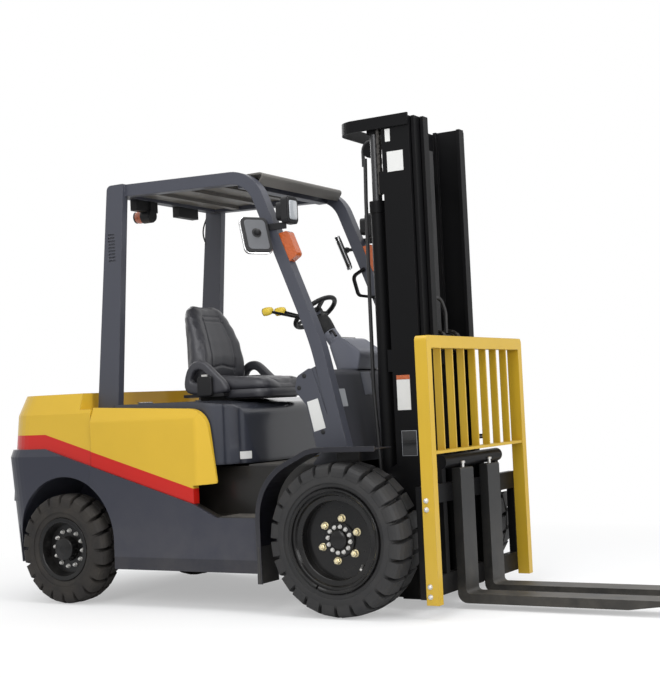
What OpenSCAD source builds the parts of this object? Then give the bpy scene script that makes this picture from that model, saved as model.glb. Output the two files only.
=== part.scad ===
// Counterbalance forklift truck with a three-stage mast
// +X points forward along the forks, +Y to the driver's left, +Z up, origin on the ground at mid length

/* [Chassis] */
// Distance between the front and the rear axle
wheelbase = 1750; // [1650:5:1950]
// Rear axle to the rear end of the counterweight
rear_overhang = 505; // [490:5:620]
// Width of the body over the side covers
body_w = 1240; // [1200:2:1290]
// Ground to the lower edge of the side tanks
skirt_z = 198; // [150:2:230]
// Ground to the step tread
step_z = 476; // [440:2:510]
// Ground to the top of the floor plate
floor_z = 735; // [725:1:760]
// Ground to the top of the counterweight
cw_top_z = 1152; // [1120:2:1200]
// Ground to the deck that carries the rear pillars
deck_z = 1062; // [1050:2:1090]
// Radius of the rear wheel arches
arch_r = 345; // [340:1:360]

/* [Wheels] */
// Outer radius of the front tyres
front_tyre_r = 375; // [360:1:378]
// Width of the front tyres
front_tyre_w = 250; // [220:2:254]
// Radius of the front rim flange
front_rim_r = 250; // [235:1:262]
// How far a front tyre stands out from the body side
front_tyre_out = 61; // [45:1:75]
// Outer radius of the rear tyres
rear_tyre_r = 300; // [285:1:304]
// Width of the rear tyres
rear_tyre_w = 175; // [160:1:178]
// Radius of the rear rim flange
rear_rim_r = 172; // [166:1:185]
// How far a rear tyre stands out from the body side
rear_tyre_out = 38; // [25:1:50]
// Distance between the two kingpins
kingpin_track = 910; // [896:2:916]

/* [Mast] */
// Ground to the top of the lowered mast
mast_h = 2467; // [2400:1:2600]
// Width over the outer rails
mast_w = 628; // [616:2:640]
// Front axle to the back of the outer rails
mast_x = 177; // [170:1:190]
// Depth of a mast rail
rail_d = 155; // [150:1:165]
// Thickness of a rail flange
flange_t = 18; // [14:1:20]
// Thickness of a rail web
web_t = 12; // [10:1:14]
// Radius of the lift cylinder barrels
lift_barrel_r = 38; // [34:1:42]
// Radius of the lift cylinder rods
lift_rod_r = 25; // [20:1:28]

/* [Carriage and forks] */
// Front axle to the front face of the fork shanks
fork_face_x = 487; // [484:1:500]
// Length of a fork in front of its shank
fork_l = 1070; // [900:10:1500]
// Width of a fork
fork_w = 150; // [100:2:160]
// Thickness of a fork
fork_t = 46; // [40:1:48]
// Distance between the centres of the forks
fork_pitch = 324; // [300:2:600]
// Width of the carriage over its bars
carriage_w = 1120; // [1080:2:1140]
// Width of the load backrest
backrest_w = 1154; // [1130:2:1180]
// Ground to the top of the load backrest
backrest_h = 1338; // [1250:2:1500]
// Number of upright bars in the load backrest
backrest_bars = 7; // [5:1:9]

/* [Overhead guard] */
// Ground to the top of the guard at its rear end
guard_h = 2296; // [2240:2:2360]
// Width over the front pillars
front_pillar_w = 940; // [930:2:960]
// Width over the rear pillars
rear_pillar_w = 980; // [960:2:1030]
// Size of a guard tube
guard_tube = 66; // [60:1:72]

/* [Hidden] */
$fn = 48;

// Colours
yellow = [0.85, 0.66, 0.2];
slate = [0.28, 0.29, 0.34];
dark = [0.13, 0.13, 0.14];
black = [0.07, 0.07, 0.075];
steel = [0.6, 0.6, 0.62];
orange = [0.88, 0.4, 0.1];
lens_white = [0.85, 0.87, 0.88];

// Places along the truck, measured from the front axle
rear_end = -wheelbase - rear_overhang;
front_end = fork_face_x + fork_l;
axle_offset = -(rear_end + front_end) / 2;
body_y = body_w / 2;
front_y = body_y + front_tyre_out;
rear_y = body_y + rear_tyre_out;

// Running fit at pins and bores, and gap between pieces that only touch
run = 0.05;
gap = 0.3;

// Frame and body side
cover_t = 60;
cover_in_y = body_y - cover_t;
plate_gap = 16;
plate_out_y = front_y - front_tyre_w - plate_gap;
plate_t = 25;
plate_in_y = plate_out_y - plate_t;
plate_foot_z = 250;
plate_nose = [95, 440];
floor_t = 8;
floor_under = floor_z - floor_t;
cw_front = -wheelbase + 190;
skirt_front = -455;
step_rear = -725;
pillar_pad_x = [-110, 20];
pillar_pad_z = [788, 800];
axle_pad = 84;
gearbox_z = 520;
cross_plate_x = [-700, -660];
stripe_front = -868;
stripe_front_z = 545;
stripe_slope = 0.2985;
stripe_rear_z = 850;
stripe_bend_x = stripe_front - (stripe_rear_z - stripe_front_z) / stripe_slope;
function stripe_z(x) = stripe_front_z + stripe_slope * (stripe_front - x);
arch_z = rear_tyre_r + 49;
well_r = arch_r + 30;
well_in_y = 150;
arch_lip = 30;
cover_step = 10;
cover_front = -742;
cover_bevel = 105;
cover_out_y = body_y - cover_step;

// Counterweight
cw_corner_r = 200;
cw_low_z = 215;
cw_foot_z = 560;
cw_bulge_z = 808;
cw_shoulder_z = 1040;
slice_t = 0.5;
pillar_seat = 80;
deck_t = 140;
deck_front = -1440;
tow_x = rear_end + 70;
tow_z = [330, 570];
tow_r = 18;
tow_jaw = [130, 90, 40];
grille_slots = 7;
grille_pitch = 52;
grille_z = 690;
grille_y = 260;

// Hood and its hinge
hood_rear = -1432;
hood_front = -648;
hood_y = cover_in_y - 12;
hood_t = 22;
hood_z = floor_z + 6;
hood_top = 1078;
hood_shoulder_z = 1050;
hood_lean = 36;
hood_corner = [120, 200];
flute_r = 24;
flute_out = [0.857, 0.514, 0] * 17;
flute_at = [0.3, 0.68];
hinge = [hood_rear - 4, hood_top - 1];
hinge_r = 11;
hinge_at = [-330, 210];
hinge_l = 120;
hinge_pin_r = 3.5;
hinge_ear = 14;

// Seat
seat_z = 1116;
seat_y = 240;
seat_back_y = 205;
hip_y = [242, 286];

// Dash, steering and controls
dash_front = -110;
toe_x = -250.2;
dash_top = 1208;
cowl_y = 122;
wheel_hub = [-441, 1522];
wheel_r = 126;
wheel_tube_r = 13;
wheel_hub_r = 42;
wheel_knob = [-72, 96];
column_foot = [-215, 1212];
column_r = 26;
column_tube_r = 40;
column_len = 372;
lever_y = [-262, -330];
lever_back = [505, 540];
lever_t = 14;
knob_z = 1535;
pedal_y = [-230, -60, 90];
pedal_w = 80;

// Guard
rail_rear = [-1440, guard_h - guard_tube / 2];
rail_bend = [-530, guard_h - 60];
pillar_knee = [-174, 1356];
pillar_foot = [-44, pillar_pad_z[1]];
pillar_lean = atan2(pillar_knee.x - rail_bend.x, rail_bend.y - pillar_knee.y);
rear_top = [-1470, -1359];
rear_foot = [-1592, -1448];
rear_pillar_t = 45;
louvres = 9;
louvre_x = [-1476, -1428];
louvre_z = 1872;
louvre_pitch = 18;
gusset_t = 12;
roof_y = front_pillar_w / 2 - guard_tube + 6;
roof_t = 10;
roof_z = 2251;
roof_ribs = 3;
rib_w = 40;
rib_pitch = 200;

// Fenders, mirrors and lamps
fender_in_y = plate_out_y + 61;
fender_out_y = front_y - 36;
fender_t = 6;
fender_lip = [8, 26];
fender_top = 812;
mirror_half = [75, 99];
mirror_t = 28;
mirror_z = 1907;
mirror_tilt = -20;
lamp_x = -328;
lamp_y = 440;
lamp_z = 2034;
turn_lamp_at = 0.46;
beacon = [-1500, -200, 2150];
beacon_r = 34;
beacon_l = 120;

// Axles and engine
front_axle_z = front_tyre_r;
axle_tube_r = 75;
spindle_r = 60;
diff_r = 140;
engine_x = [-1452, -860];
engine_z = [300, 900];
sump_x = [-1150, -900];
sump_z = 165;
gearbox_front = -160;
king_y = kingpin_track / 2;
king_r = 22;
yoke_r = 34;
yoke_t = 38;
yoke_z = 58;
rear_spindle_r = 34;

// Wheels
rim_drop = 20;
rim_wall = 20;
dish_r = front_rim_r - 58;
hub_r = 84;
rear_hub_r = 66;
lug_reach = 0.31;
front_lugs = 24;
front_groove = [17, 36];
rear_lugs = 20;
rear_groove = [20, 30];

// Mast
bow_rise = 14;
rail_top = mast_h - bow_rise;
outer_web_t = 14;
outer_flange = 52;
outer_in = mast_w / 2 - outer_flange;
stage_x = flange_t + 5;
stage_clear = 6;
roller_r = rail_d / 2 - flange_t - gap;
flange_in = 20;
mast_foot = 52;
bow_h = 60;
bow_t = 13;
bow_y = mast_w / 2 + 12;
bow_rear = -92;
bow_r = 115;
outer_tie_t = 24;
middle_tie_t = 16;
inner_tie_t = 14;
head_h = 60;
head_x = [78, 140];
hose_x = 52;
hose_y = 200;
hose_r = 40;
hose_w = 28;
function stage_back(i) = mast_x + i * stage_x;
function web_y(i) =
  i == 1 ? outer_in - stage_clear - web_t : web_y(i - 1) - flange_in - stage_clear - web_t;
function flange_tip(i) = (i == 1 ? mast_w / 2 - outer_web_t : web_y(i - 1)) - stage_clear;

// Lift cylinders and chains
lift_x = 108;
lift_y = 256;
lift_barrel_z = [500, rail_top - 403];
gland = [5, 60];
free_x = 306;
free_z = [128, rail_top / 2 - 16];
free_r = 46;
free_rod_r = 30;
sheave_z = rail_top / 2 + 94;
sheave_r = 54;
sheave_w = 40;
chain_y = 84;
chain_t = 16;
chain_half = [16, 12];
chain_links = 12;

// Tilt cylinders
tilt_arm_z = 640;
tilt_arm_x = 130;
tilt_arm_t = 13;
tilt_y = plate_in_y - 44;
tilt_base = [-560, 540];
tilt_pin_r = 16;
eye_r = 36;
eye_half = 24;
eye_slack = 3;
barrel_len = 470;
barrel_r = 38;
tilt_rod_r = 22;
tilt_vec = [tilt_arm_x, tilt_arm_z] - tilt_base;
tilt_len = norm(tilt_vec);

// Carriage, backrest and forks
bar_x = [400, 440];
upper_bar_z = [533, 622];
lower_bar_z = [92, 187];
carriage_plate = [270, 118, 146];
upright_y = [118, 300];
upright_w = 40;
upright_z = 730;
tie_tube_x = 428;
tie_tube_y = upright_y[1] + upright_w;
tie_tube_r = 34;
tie_tube_z = 725;
post_w = 48;
post_foot = 70;
post_front = fork_face_x + 17;
backrest_corner = 24;
top_bar_h = 60;
cross_bar_z = [774, 788];
bar_t = 10;
bars_z = [cross_bar_z[0], backrest_h - 20];
blade_z = 30;
fork_top = 690;
fork_back = bar_x[1] + 0.2;
fork_taper = 260;

// Both ends of a span, measured from one place
function span(at, ends) = [at + ends[0], at + ends[1]];

// Rounded outlines
function unit(v) = v / norm(v);
function turn(a) = a > 180 ? a - 360 : a < -180 ? a + 360 : a;
function fillet(a, b, c, r, n) =
  r == 0 ? [b] :
  let (u = unit(a - b), w = unit(c - b), half = acos(u * w) / 2)
  let (m = b + unit(u + w) * r / sin(half), p = b + u * r / tan(half) - m, q = b + w * r / tan(half) - m)
  let (a0 = atan2(p.y, p.x), sweep = turn(atan2(q.y, q.x) - a0))
  [for (i = [0:n]) m + r * [cos(a0 + sweep * i / n), sin(a0 + sweep * i / n)]];
function flat(p) = [p.x, p.y];
function radius(p) = len(p) > 2 ? p.z : 0;
function rounded(p, n = 6) =
  let (k = len(p))
  [for (i = [0:k - 1])
    each fillet(flat(p[(i + k - 1) % k]), flat(p[i]), flat(p[(i + 1) % k]), radius(p[i]), n)];
function rounded_path(p, n = 8) =
  let (k = len(p))
  [flat(p[0]), for (i = [1:1:k - 2]) each fillet(flat(p[i - 1]), flat(p[i]), flat(p[i + 1]), radius(p[i]), n),
    flat(p[k - 1])];
function side_of(p, i) =
  let (k = len(p), t = unit(p[min(i + 1, k - 1)] - p[max(i - 1, 0)]))
  [-t.y, t.x];
function strip(p, h) = concat(
  [for (i = [0:len(p) - 1]) p[i] + side_of(p, i) * h],
  [for (i = [len(p) - 1:-1:0]) p[i] - side_of(p, i) * h]);

// Extrusions from the side view and from the front view
module from_side(y0, y1) {
  translate([0, y1, 0])
    rotate([90, 0, 0])
      linear_extrude(y1 - y0) children();
}
module from_front(x0, x1) {
  translate([x0, 0, 0])
    rotate([90, 0, 90])
      linear_extrude(x1 - x0) children();
}
module both_sides() {
  children();
  mirror([0, 1, 0]) children();
}
module box(x, y, z) {
  translate([x[0], y[0], z[0]])
    cube([x[1] - x[0], y[1] - y[0], z[1] - z[0]]);
}
module rod_y(x, y0, y1, z, r) {
  translate([x, y1, z])
    rotate([90, 0, 0])
      cylinder(h = y1 - y0, r = r);
}
module at_axle() {
  translate([axle_offset, 0, 0]) children();
}

// Space that the steered rear wheels need
module rear_wells() {
  both_sides() {
    wheel_room(well_r, [well_in_y, body_y - arch_lip]);
    wheel_room(arch_r, [body_y - arch_lip - 1, body_y + 50]);
  }
}
module wheel_room(r, y) {
  rod_y(-wheelbase, y[0], y[1], arch_z, r);
  box([-wheelbase - r, -wheelbase + r], y, [0, arch_z]);
}

// Side tanks: the outer skin follows the rising stripe, the tank behind it has a level top
module skirt_outline() {
  polygon(rounded([
    [cw_front, skirt_z], [skirt_front, skirt_z, 30], [skirt_front, step_z, 25], [step_rear, step_z, 40],
    [stripe_front, stripe_z(stripe_front)], [cw_front, stripe_z(cw_front)]
  ]));
}
module tank_outline() {
  polygon(rounded([
    [cw_front, skirt_z], [skirt_front, skirt_z, 30], [skirt_front, step_z, 25], [cw_front, step_z]
  ]));
}
module side_plate_outline() {
  polygon([
    [cw_front, plate_foot_z], [plate_nose.x, plate_foot_z], plate_nose, [-60, floor_under],
    [cw_front, floor_under]
  ]);
}
module frame() {
  color(slate)
    difference() {
      union() {
        both_sides() {
          from_side(cover_in_y, body_y) skirt_outline();
          from_side(plate_in_y, cover_in_y + 1) tank_outline();
          from_side(plate_in_y, plate_out_y) side_plate_outline();
          box(pillar_pad_x, [plate_in_y, plate_out_y], [plate_nose.y, pillar_pad_z[0]]);
          box(pillar_pad_x, [plate_in_y, front_pillar_w / 2], pillar_pad_z);
          rod_y(tilt_base.x, tilt_y - 34, plate_in_y + 1, tilt_base.y, tilt_pin_r);
        }
        cross_plate([cw_front, cw_front + 30], [420, deck_z - deck_t]);
        cross_plate(cross_plate_x, [gearbox_z + gap, floor_under]);
      }
      rear_wells();
      both_sides()
        box([-axle_pad, axle_pad], [plate_in_y - 10, plate_out_y + 10], [200, front_axle_z + axle_pad]);
    }
}
module cross_plate(x, z) {
  box(x, [-plate_in_y - 1, plate_in_y + 1], z);
}

// Plan of the counterweight, drawn in at the rear and at the sides
module cw_plan(rear_in, side_in) {
  polygon(rounded([
    [cw_front, side_in - body_y], [cw_front, body_y - side_in],
    [rear_end + rear_in, body_y - side_in, cw_corner_r], [rear_end + rear_in, side_in - body_y, cw_corner_r]
  ], 10));
}
module cw_slice(z, rear_in, side_in) {
  translate([0, 0, z])
    linear_extrude(slice_t) cw_plan(rear_in, side_in);
}
module cw_upper() {
  hull() {
    cw_slice(cw_foot_z, 5, cover_step);
    cw_slice(cw_shoulder_z, 52, 22);
  }
  hull() {
    cw_slice(cw_shoulder_z, 52, 22);
    cw_slice(cw_top_z - slice_t, 82, 64);
  }
}
// The lower part stands out by one step and ends along the stripe
module cw_lower() {
  intersection() {
    union() {
      hull() {
        cw_slice(cw_low_z, 52, 12);
        cw_slice(cw_bulge_z, 0, 0);
      }
      hull() {
        cw_slice(cw_bulge_z, 0, 0);
        cw_slice(stripe_rear_z - slice_t, 12, cover_step);
      }
    }
    from_side(-body_y, body_y)
      polygon([
        [cw_front, cw_low_z], [cw_front, stripe_z(cw_front)], [stripe_bend_x, stripe_rear_z],
        [rear_end, stripe_rear_z], [rear_end, cw_low_z]
      ]);
  }
}
// Jaw and pin hole of the tow coupling
module tow_room() {
  box([rear_end - 10, rear_end + tow_jaw.x], [-tow_jaw.y, tow_jaw.y], tow_z + [tow_jaw.z, -tow_jaw.z]);
  translate([tow_x, 0, tow_z[0]]) cylinder(h = tow_z[1] - tow_z[0] + 1, r = tow_r + run);
  box([rear_end - 10, tow_x + 50], [-60, 60], [tow_z[1], tow_z[1] + 70]);
}
module rear_grille() {
  for (i = [0:grille_slots - 1])
    box([rear_end - 10, rear_end + 90], [-grille_y, grille_y],
      span(grille_z + i * grille_pitch, [0, grille_pitch / 2]));
}
module counterweight() {
  color(yellow) {
    difference() {
      union() {
        difference() {
          union() {
            cw_upper();
            cw_lower();
          }
          box([cw_front - pillar_seat, cw_front + 1], [-body_y, body_y], [deck_z, cw_top_z + 1]);
        }
        box([cw_front - 5, deck_front], [-cover_in_y + 4, cover_in_y - 4], [deck_z - deck_t, deck_z]);
      }
      rear_wells();
      box([-wheelbase - 190, cw_front + 5], [-well_in_y - 1, well_in_y + 1], [100, 430]);
      tow_room();
      rear_grille();
    }
    hood_hinges();
  }
}
// Pins in the barrels of the hood, each held by two ears on the deck
module hood_hinges() {
  for (y = hinge_at) {
    rod_y(hinge.x, y - hinge_ear, y + hinge_l + hinge_ear, hinge.y, hinge_pin_r);
    for (e = [y - hinge_ear, y + hinge_l + gap])
      box([hinge.x - 24, hinge.x - 2], [e, e + hinge_ear - gap], [deck_z - 1, hinge.y + 6]);
  }
}

module tow_pin() {
  color(steel)
    translate([tow_x, 0, 0]) {
      translate([0, 0, tow_z[0]]) cylinder(h = tow_z[1] - tow_z[0] + 10, r = tow_r);
      translate([0, 0, tow_z[1]]) cylinder(h = 22, r = tow_r + 14);
    }
}

// Side covers: outline from the side, bevelled in plan and along the top
module cover_outline() {
  polygon(rounded([
    [cw_front + 5, stripe_z(cw_front + 5)], [stripe_front, stripe_z(stripe_front)], [stripe_front, 640],
    [cover_front, 648, 12], [-790, 1036, 120], [-1000, 1046, 200], [cw_front + 5, 1069]
  ], 8));
}
module cover_plan() {
  polygon(rounded([
    [cw_front, cover_in_y], [cover_front, cover_in_y], [cover_front, cover_in_y + 8, 6],
    [cover_front - cover_bevel, cover_out_y, 70], [cw_front, cover_out_y]
  ], 6));
}
module cover_section() {
  low = stripe_front_z - 100;
  polygon(rounded([
    [cover_in_y, low], [cover_out_y, low], [cover_out_y, deck_z - 70, 40], [cover_in_y + 14, deck_z + 10],
    [cover_in_y, deck_z + 10]
  ]));
}
module side_covers() {
  color(yellow)
    both_sides()
      intersection() {
        from_side(cover_in_y, cover_out_y) cover_outline();
        linear_extrude(cw_top_z) cover_plan();
        from_front(cw_front, cover_front) cover_section();
      }
}

module floor_plate() {
  color(dark)
    box([-645, toe_x], [-plate_out_y, plate_out_y], [floor_under, floor_z]);
}

module dash() {
  foot = pillar_pad_z[1];
  color(slate) {
    from_side(-front_pillar_w / 2 + guard_tube, front_pillar_w / 2 - guard_tube)
      polygon(rounded([
        [-44, foot], [-122, dash_top, 40], [-262, dash_top, 40], [-190, 940, 60], [-190, foot]
      ]));
    from_side(-plate_out_y, plate_out_y)
      polygon([
        [-190, foot], [dash_front, foot], [dash_front, floor_under], [toe_x, floor_under], [toe_x, floor_z]
      ]);
  }
}

module instrument_cowl() {
  color(dark)
    from_side(-cowl_y, cowl_y)
      polygon(rounded([
        [-130, dash_top + 0.2], [-105, 1300, 40], [-230, 1388, 50], [-300, 1350, 30], [-255, dash_top + 0.2]
      ]));
}

// The steering column leans back from the cowl to the hub of the wheel
function column_angle() = atan2(column_foot.x - wheel_hub.x, wheel_hub.y - column_foot.y);
module along_column(d) {
  translate([wheel_hub.x, 0, wheel_hub.y])
    rotate([0, -column_angle(), 0])
      translate([0, 0, d]) children();
}
module steering_column() {
  color(dark)
    difference() {
      along_column(-column_len) {
        cylinder(h = column_len - 40, r = column_tube_r);
        cylinder(h = column_len + 8, r = column_r);
      }
      instrument_room();
    }
}
module instrument_room() {
  box([-400, 0], [-cowl_y - 10, cowl_y + 10], [700, dash_top + 0.2]);
  from_side(-cowl_y - gap, cowl_y + gap)
    polygon(rounded([
      [-129, 1200], [-104, 1300, 40], [-230, 1388.5, 50], [-301, 1350, 30], [-256, 1200]
    ]));
}

module steering_wheel() {
  color(black)
    along_column(0) {
      difference() {
        union() {
          cylinder(h = 24, r = wheel_hub_r);
          for (a = [90, 210, 330])
            rotate([0, 0, a])
              translate([0, -wheel_tube_r, 5]) cube([wheel_r - 4, 2 * wheel_tube_r, 11]);
          rotate_extrude()
            translate([wheel_r, 14]) circle(r = wheel_tube_r, $fn = 16);
        }
        translate([0, 0, -1]) cylinder(h = 13, r = column_r + run);
      }
      translate([wheel_knob.x, wheel_knob.y, 20]) cylinder(h = 44, r = 17);
    }
}

module control_levers() {
  color(yellow)
    for (i = [0, 1]) {
      from_side(lever_y[i] - lever_t / 2, lever_y[i] + lever_t / 2)
        polygon(strip(rounded_path([
          [-205, dash_top + 3.1], [-330, 1484, 50], [20 - lever_back[i], knob_z - 5]
        ]), lever_t / 2));
      translate([-lever_back[i], lever_y[i], knob_z])
        rotate([0, 82, 0]) cylinder(h = 52, r1 = 21, r2 = 15, center = true);
    }
}

// Each pedal is a bent tread on an arm that stands on the toe board
module pedals() {
  color(black)
    for (y = pedal_y) {
      from_side(y - pedal_w / 2, y + pedal_w / 2)
        polygon(strip([[-205, floor_z + 60], [-300, floor_z + 130], [-320, floor_z + 190]], 6));
      from_side(y - pedal_w / 10, y + pedal_w / 10)
        polygon(strip([[-193.2, floor_z + 78], [-260, floor_z + 104]], 8));
    }
}

// Overhead guard: each side rail runs over the roof and bends down into the front pillar
module guard_side() {
  polygon(strip(rounded_path([
    rail_rear, concat(rail_bend, [190]), concat(pillar_knee, [1400]), pillar_foot
  ], 10), guard_tube / 2));
}
module front_pillar() {
  from_side(roof_y, front_pillar_w / 2)
    intersection() {
      guard_side();
      translate([-3000, pillar_foot.y]) square([4000, 2000]);
    }
}
module rear_pillar() {
  difference() {
    from_side(rear_pillar_w / 2 - rear_pillar_t, rear_pillar_w / 2)
      polygon(rounded([
        [rear_foot[0], deck_z], [rear_foot[1], deck_z], [rear_top[1], guard_h - 40], [rear_top[1], guard_h],
        [rear_top[0], guard_h, 30]
      ]));
    for (i = [0:louvres - 1])
      box(louvre_x, [rear_pillar_w / 2 - 6, rear_pillar_w / 2 + 1],
        span(louvre_z + i * louvre_pitch, [0, louvre_pitch / 2]));
  }
}
module gusset() {
  from_side(front_pillar_w / 2 - gusset_t, front_pillar_w / 2)
    polygon(rounded([
      [-205, 1225, 20], [-290, 1180, 30], [-308, 1110, 40], [-240, 1030, 40], [-190, pillar_foot.y],
      [-60, pillar_foot.y]
    ]));
}
module overhead_guard() {
  color(slate) {
    both_sides() {
      front_pillar();
      rear_pillar();
      gusset();
    }
    box([-1440, -1380], [1 - rear_pillar_w / 2, rear_pillar_w / 2 - 1], [guard_h - guard_tube, guard_h - 6]);
    box([-640, -580], [-front_pillar_w / 2 + 55, front_pillar_w / 2 - 55], [guard_h - 106, guard_h - 52]);
  }
}

// Roof sheet with a slanted lip at its front and ribs below
module roof_panel() {
  color(slate) {
    from_side(-roof_y, roof_y)
      polygon(strip(rounded_path([[-1379.5, roof_z], [-474, roof_z + 5, 14], [-518, 2198]], 4), roof_t / 2));
    for (i = [0:roof_ribs - 1])
      box(span(-1240 + i * rib_pitch, [0, rib_w]), [-roof_y, roof_y], [roof_z - 23, roof_z - 1]);
  }
}

// Fenders with a lip along their outer edge
module fender_path(t) {
  back = skirt_front + gap + fender_t / 2;
  polygon(strip(rounded_path([
    [back, 150], [back, 660, 300], [-130, fender_top, 260], [235, fender_top]
  ], 12), t / 2));
}
module fenders() {
  color(slate)
    both_sides() {
      from_side(fender_in_y, fender_out_y) fender_path(fender_t);
      from_side(fender_out_y - fender_lip[0], fender_out_y) fender_path(fender_lip[1]);
    }
}

module plate_outline(y, z, r, n) {
  polygon(rounded([[-y, -z, r], [y, -z, r], [y, z, r], [-y, z, r]], n));
}
module mirror_head(x, y, yaw) {
  translate([x, y, mirror_z])
    rotate([0, mirror_tilt, yaw])
      from_front(-mirror_t / 2, mirror_t / 2) plate_outline(mirror_half.x, mirror_half.y, 28, 6);
}
module mirrors() {
  color(black) {
    mirror_head(-444, -560, -30);
    rod_y(-434, -560, -front_pillar_w / 2, mirror_z + 8, 9);
    mirror_head(-553, 520, 30);
    box([-532, -396], [front_pillar_w / 2, front_pillar_w / 2 + 9], [mirror_z - 1, mirror_z + 17]);
  }
}

module lamp_outline(y, z) {
  translate([lamp_y, lamp_z]) plate_outline(y, z, 22, 4);
}
module work_lamps() {
  color(lens_white)
    both_sides() {
      from_front(lamp_x, lamp_x + 34) lamp_outline(54, 70);
      from_front(lamp_x - 44, lamp_x + 1) lamp_outline(34, 48);
      box([-440, lamp_x + 16], [front_pillar_w / 2, front_pillar_w / 2 + 6], [lamp_z - 96, lamp_z - 62]);
    }
}

// Turn lamps lean with the front pillars
module turn_lamps() {
  color(orange)
    both_sides()
      from_side(front_pillar_w / 2 - 56, front_pillar_w / 2 - 4)
        translate(rail_bend + (pillar_knee - rail_bend) * turn_lamp_at)
          rotate(pillar_lean)
            translate([guard_tube / 2 + gap, 0])
              polygon(rounded([[0, -80], [56, -70, 20], [56, 70, 20], [0, 80]]));
}

module rear_lamps() {
  color(orange)
    translate(beacon)
      rotate([0, 90, 0]) cylinder(h = beacon_l, r = beacon_r);
  color(dark) {
    translate([beacon.x + 60, beacon.y - 18, beacon.z + 30]) cube([60, 36, 50]);
    for (y = [-330, 60])
      box([-1438, -1392], [y, y + 190], [beacon.z + 20, guard_h - guard_tube]);
  }
}

module grab_handle() {
  color(black)
    from_side(roof_y - 18, roof_y - 0.5)
      polygon(strip(rounded_path([[-352, 1790], [-428, 1752, 30], [-398, 1640, 30], [-296, 1622]]), 8));
}

module drive_axle() {
  color(black) {
    rod_y(0, -plate_in_y, plate_in_y, front_axle_z, axle_tube_r);
    both_sides() {
      box([-axle_pad, axle_pad], [plate_in_y, plate_out_y], span(front_axle_z, [-axle_pad, axle_pad]));
      rod_y(0, plate_out_y, front_y - 70, front_axle_z, spindle_r);
    }
    rod_y(0, -150, 150, front_axle_z, diff_r);
  }
}

module engine_block() {
  color(dark) {
    box(engine_x, [-240, 240], engine_z);
    box(sump_x, [-150, 150], [sump_z, engine_z[0] + 10]);
    box([engine_x[1] - 1, gearbox_front], [-190, 190], [240, gearbox_z]);
  }
}

// Steer axle: a beam with a yoke at each end that holds the kingpin
module yoke() {
  low = rear_tyre_r - yoke_z - yoke_t;
  for (z = [low, rear_tyre_r + yoke_z]) {
    box(span(-wheelbase, [-yoke_r, yoke_r]), [king_y - 64, king_y], [z, z + yoke_t]);
    translate([-wheelbase, king_y, z]) cylinder(h = yoke_t, r = yoke_r);
  }
  box(span(-wheelbase, [-yoke_r, yoke_r]), [king_y - 64, king_y - 42], [low, rear_tyre_r + yoke_z + yoke_t]);
}
module steer_axle() {
  color(black)
    difference() {
      union() {
        box(span(-wheelbase, [-52, 52]), [-king_y + 60, king_y - 60], span(rear_tyre_r, [-50, 50]));
        box(span(-wheelbase, [-110, 110]), [-130, 130], [rear_tyre_r - 70, 430]);
        both_sides() yoke();
      }
      both_sides()
        translate([-wheelbase, king_y, rear_tyre_r - 200]) cylinder(h = 400, r = king_r + run);
    }
}

module knuckle() {
  translate([-wheelbase, king_y, rear_tyre_r]) {
    translate([0, 0, -yoke_z + gap]) cylinder(h = 2 * yoke_z - 2 * gap, r = yoke_r + 4);
    translate([0, 0, -94]) cylinder(h = 188, r = king_r);
    rod_y(0, 0, rear_y - king_y - 30, 0, rear_spindle_r);
  }
}
module knuckle_right() { color(black) mirror([0, 1, 0]) knuckle(); }
module knuckle_left() { color(black) knuckle(); }

// A wheel is turned about its own axle, from its inner to its outer side
module at_wheel(x, z) {
  translate([x, 0, z])
    rotate([-90, 0, 0]) children();
}
module turned(x, z, facets = 96) {
  at_wheel(x, z) rotate_extrude($fn = facets) children();
}
// Lug grooves cut in over one shoulder of a tyre
module lug_grooves(r, groove, y, count, phase) {
  for (i = [0:count - 1])
    rotate([0, 0, (i + phase) * 360 / count])
      translate([r - groove[1], -groove[0] / 2, y[0]])
        cube([groove[1] + 5, groove[0], y[1] - y[0]]);
}
// Grooves from both sides, half a pitch apart, leave the lugs standing
module lugs_left(x, z, r, w, out_y, groove, count) {
  difference() {
    children();
    at_wheel(x, z) {
      lug_grooves(r, groove, [out_y - w * lug_reach, out_y + 5], count, 0);
      lug_grooves(r, groove, [out_y - w - 5, out_y - w + w * lug_reach], count, 0.5);
    }
  }
}

module front_rim() {
  seat_r = front_rim_r - rim_drop;
  turned(0, front_axle_z)
    polygon(rounded([
      [spindle_r + run, front_y - 210], [150, front_y - 210], [150, front_y - 100],
      [seat_r - rim_wall, front_y - 100], [seat_r - rim_wall, front_y - front_tyre_w + 6],
      [seat_r, front_y - front_tyre_w + 6], [seat_r, front_y - 34], [front_rim_r, front_y - 34],
      [front_rim_r, front_y - 16, 6], [front_rim_r - 26, front_y - 16, 4], [front_rim_r - 34, front_y - 30],
      [dish_r, front_y - 36, 6], [dish_r - 4, front_y - 78], [hub_r + 2, front_y - 78],
      [hub_r, front_y - 66, 4], [spindle_r + run, front_y - 66]
    ], 3));
}
module front_tyre() {
  bead_r = front_rim_r - rim_drop + gap;
  lugs_left(0, front_axle_z, front_tyre_r, front_tyre_w, front_y, front_groove, front_lugs)
    turned(0, front_axle_z, 24)
      polygon([
        [bead_r, front_y - front_tyre_w + 30], [bead_r, front_y - 34 - gap],
        [front_rim_r + gap, front_y - 34 - gap], [front_rim_r + gap, front_y - 12],
        [front_rim_r + 26, front_y], [front_tyre_r - 34, front_y], [front_tyre_r, front_y - 34],
        [front_tyre_r, front_y - front_tyre_w + 34], [front_tyre_r - 34, front_y - front_tyre_w],
        [front_rim_r + 10, front_y - front_tyre_w]
      ]);
}
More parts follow.
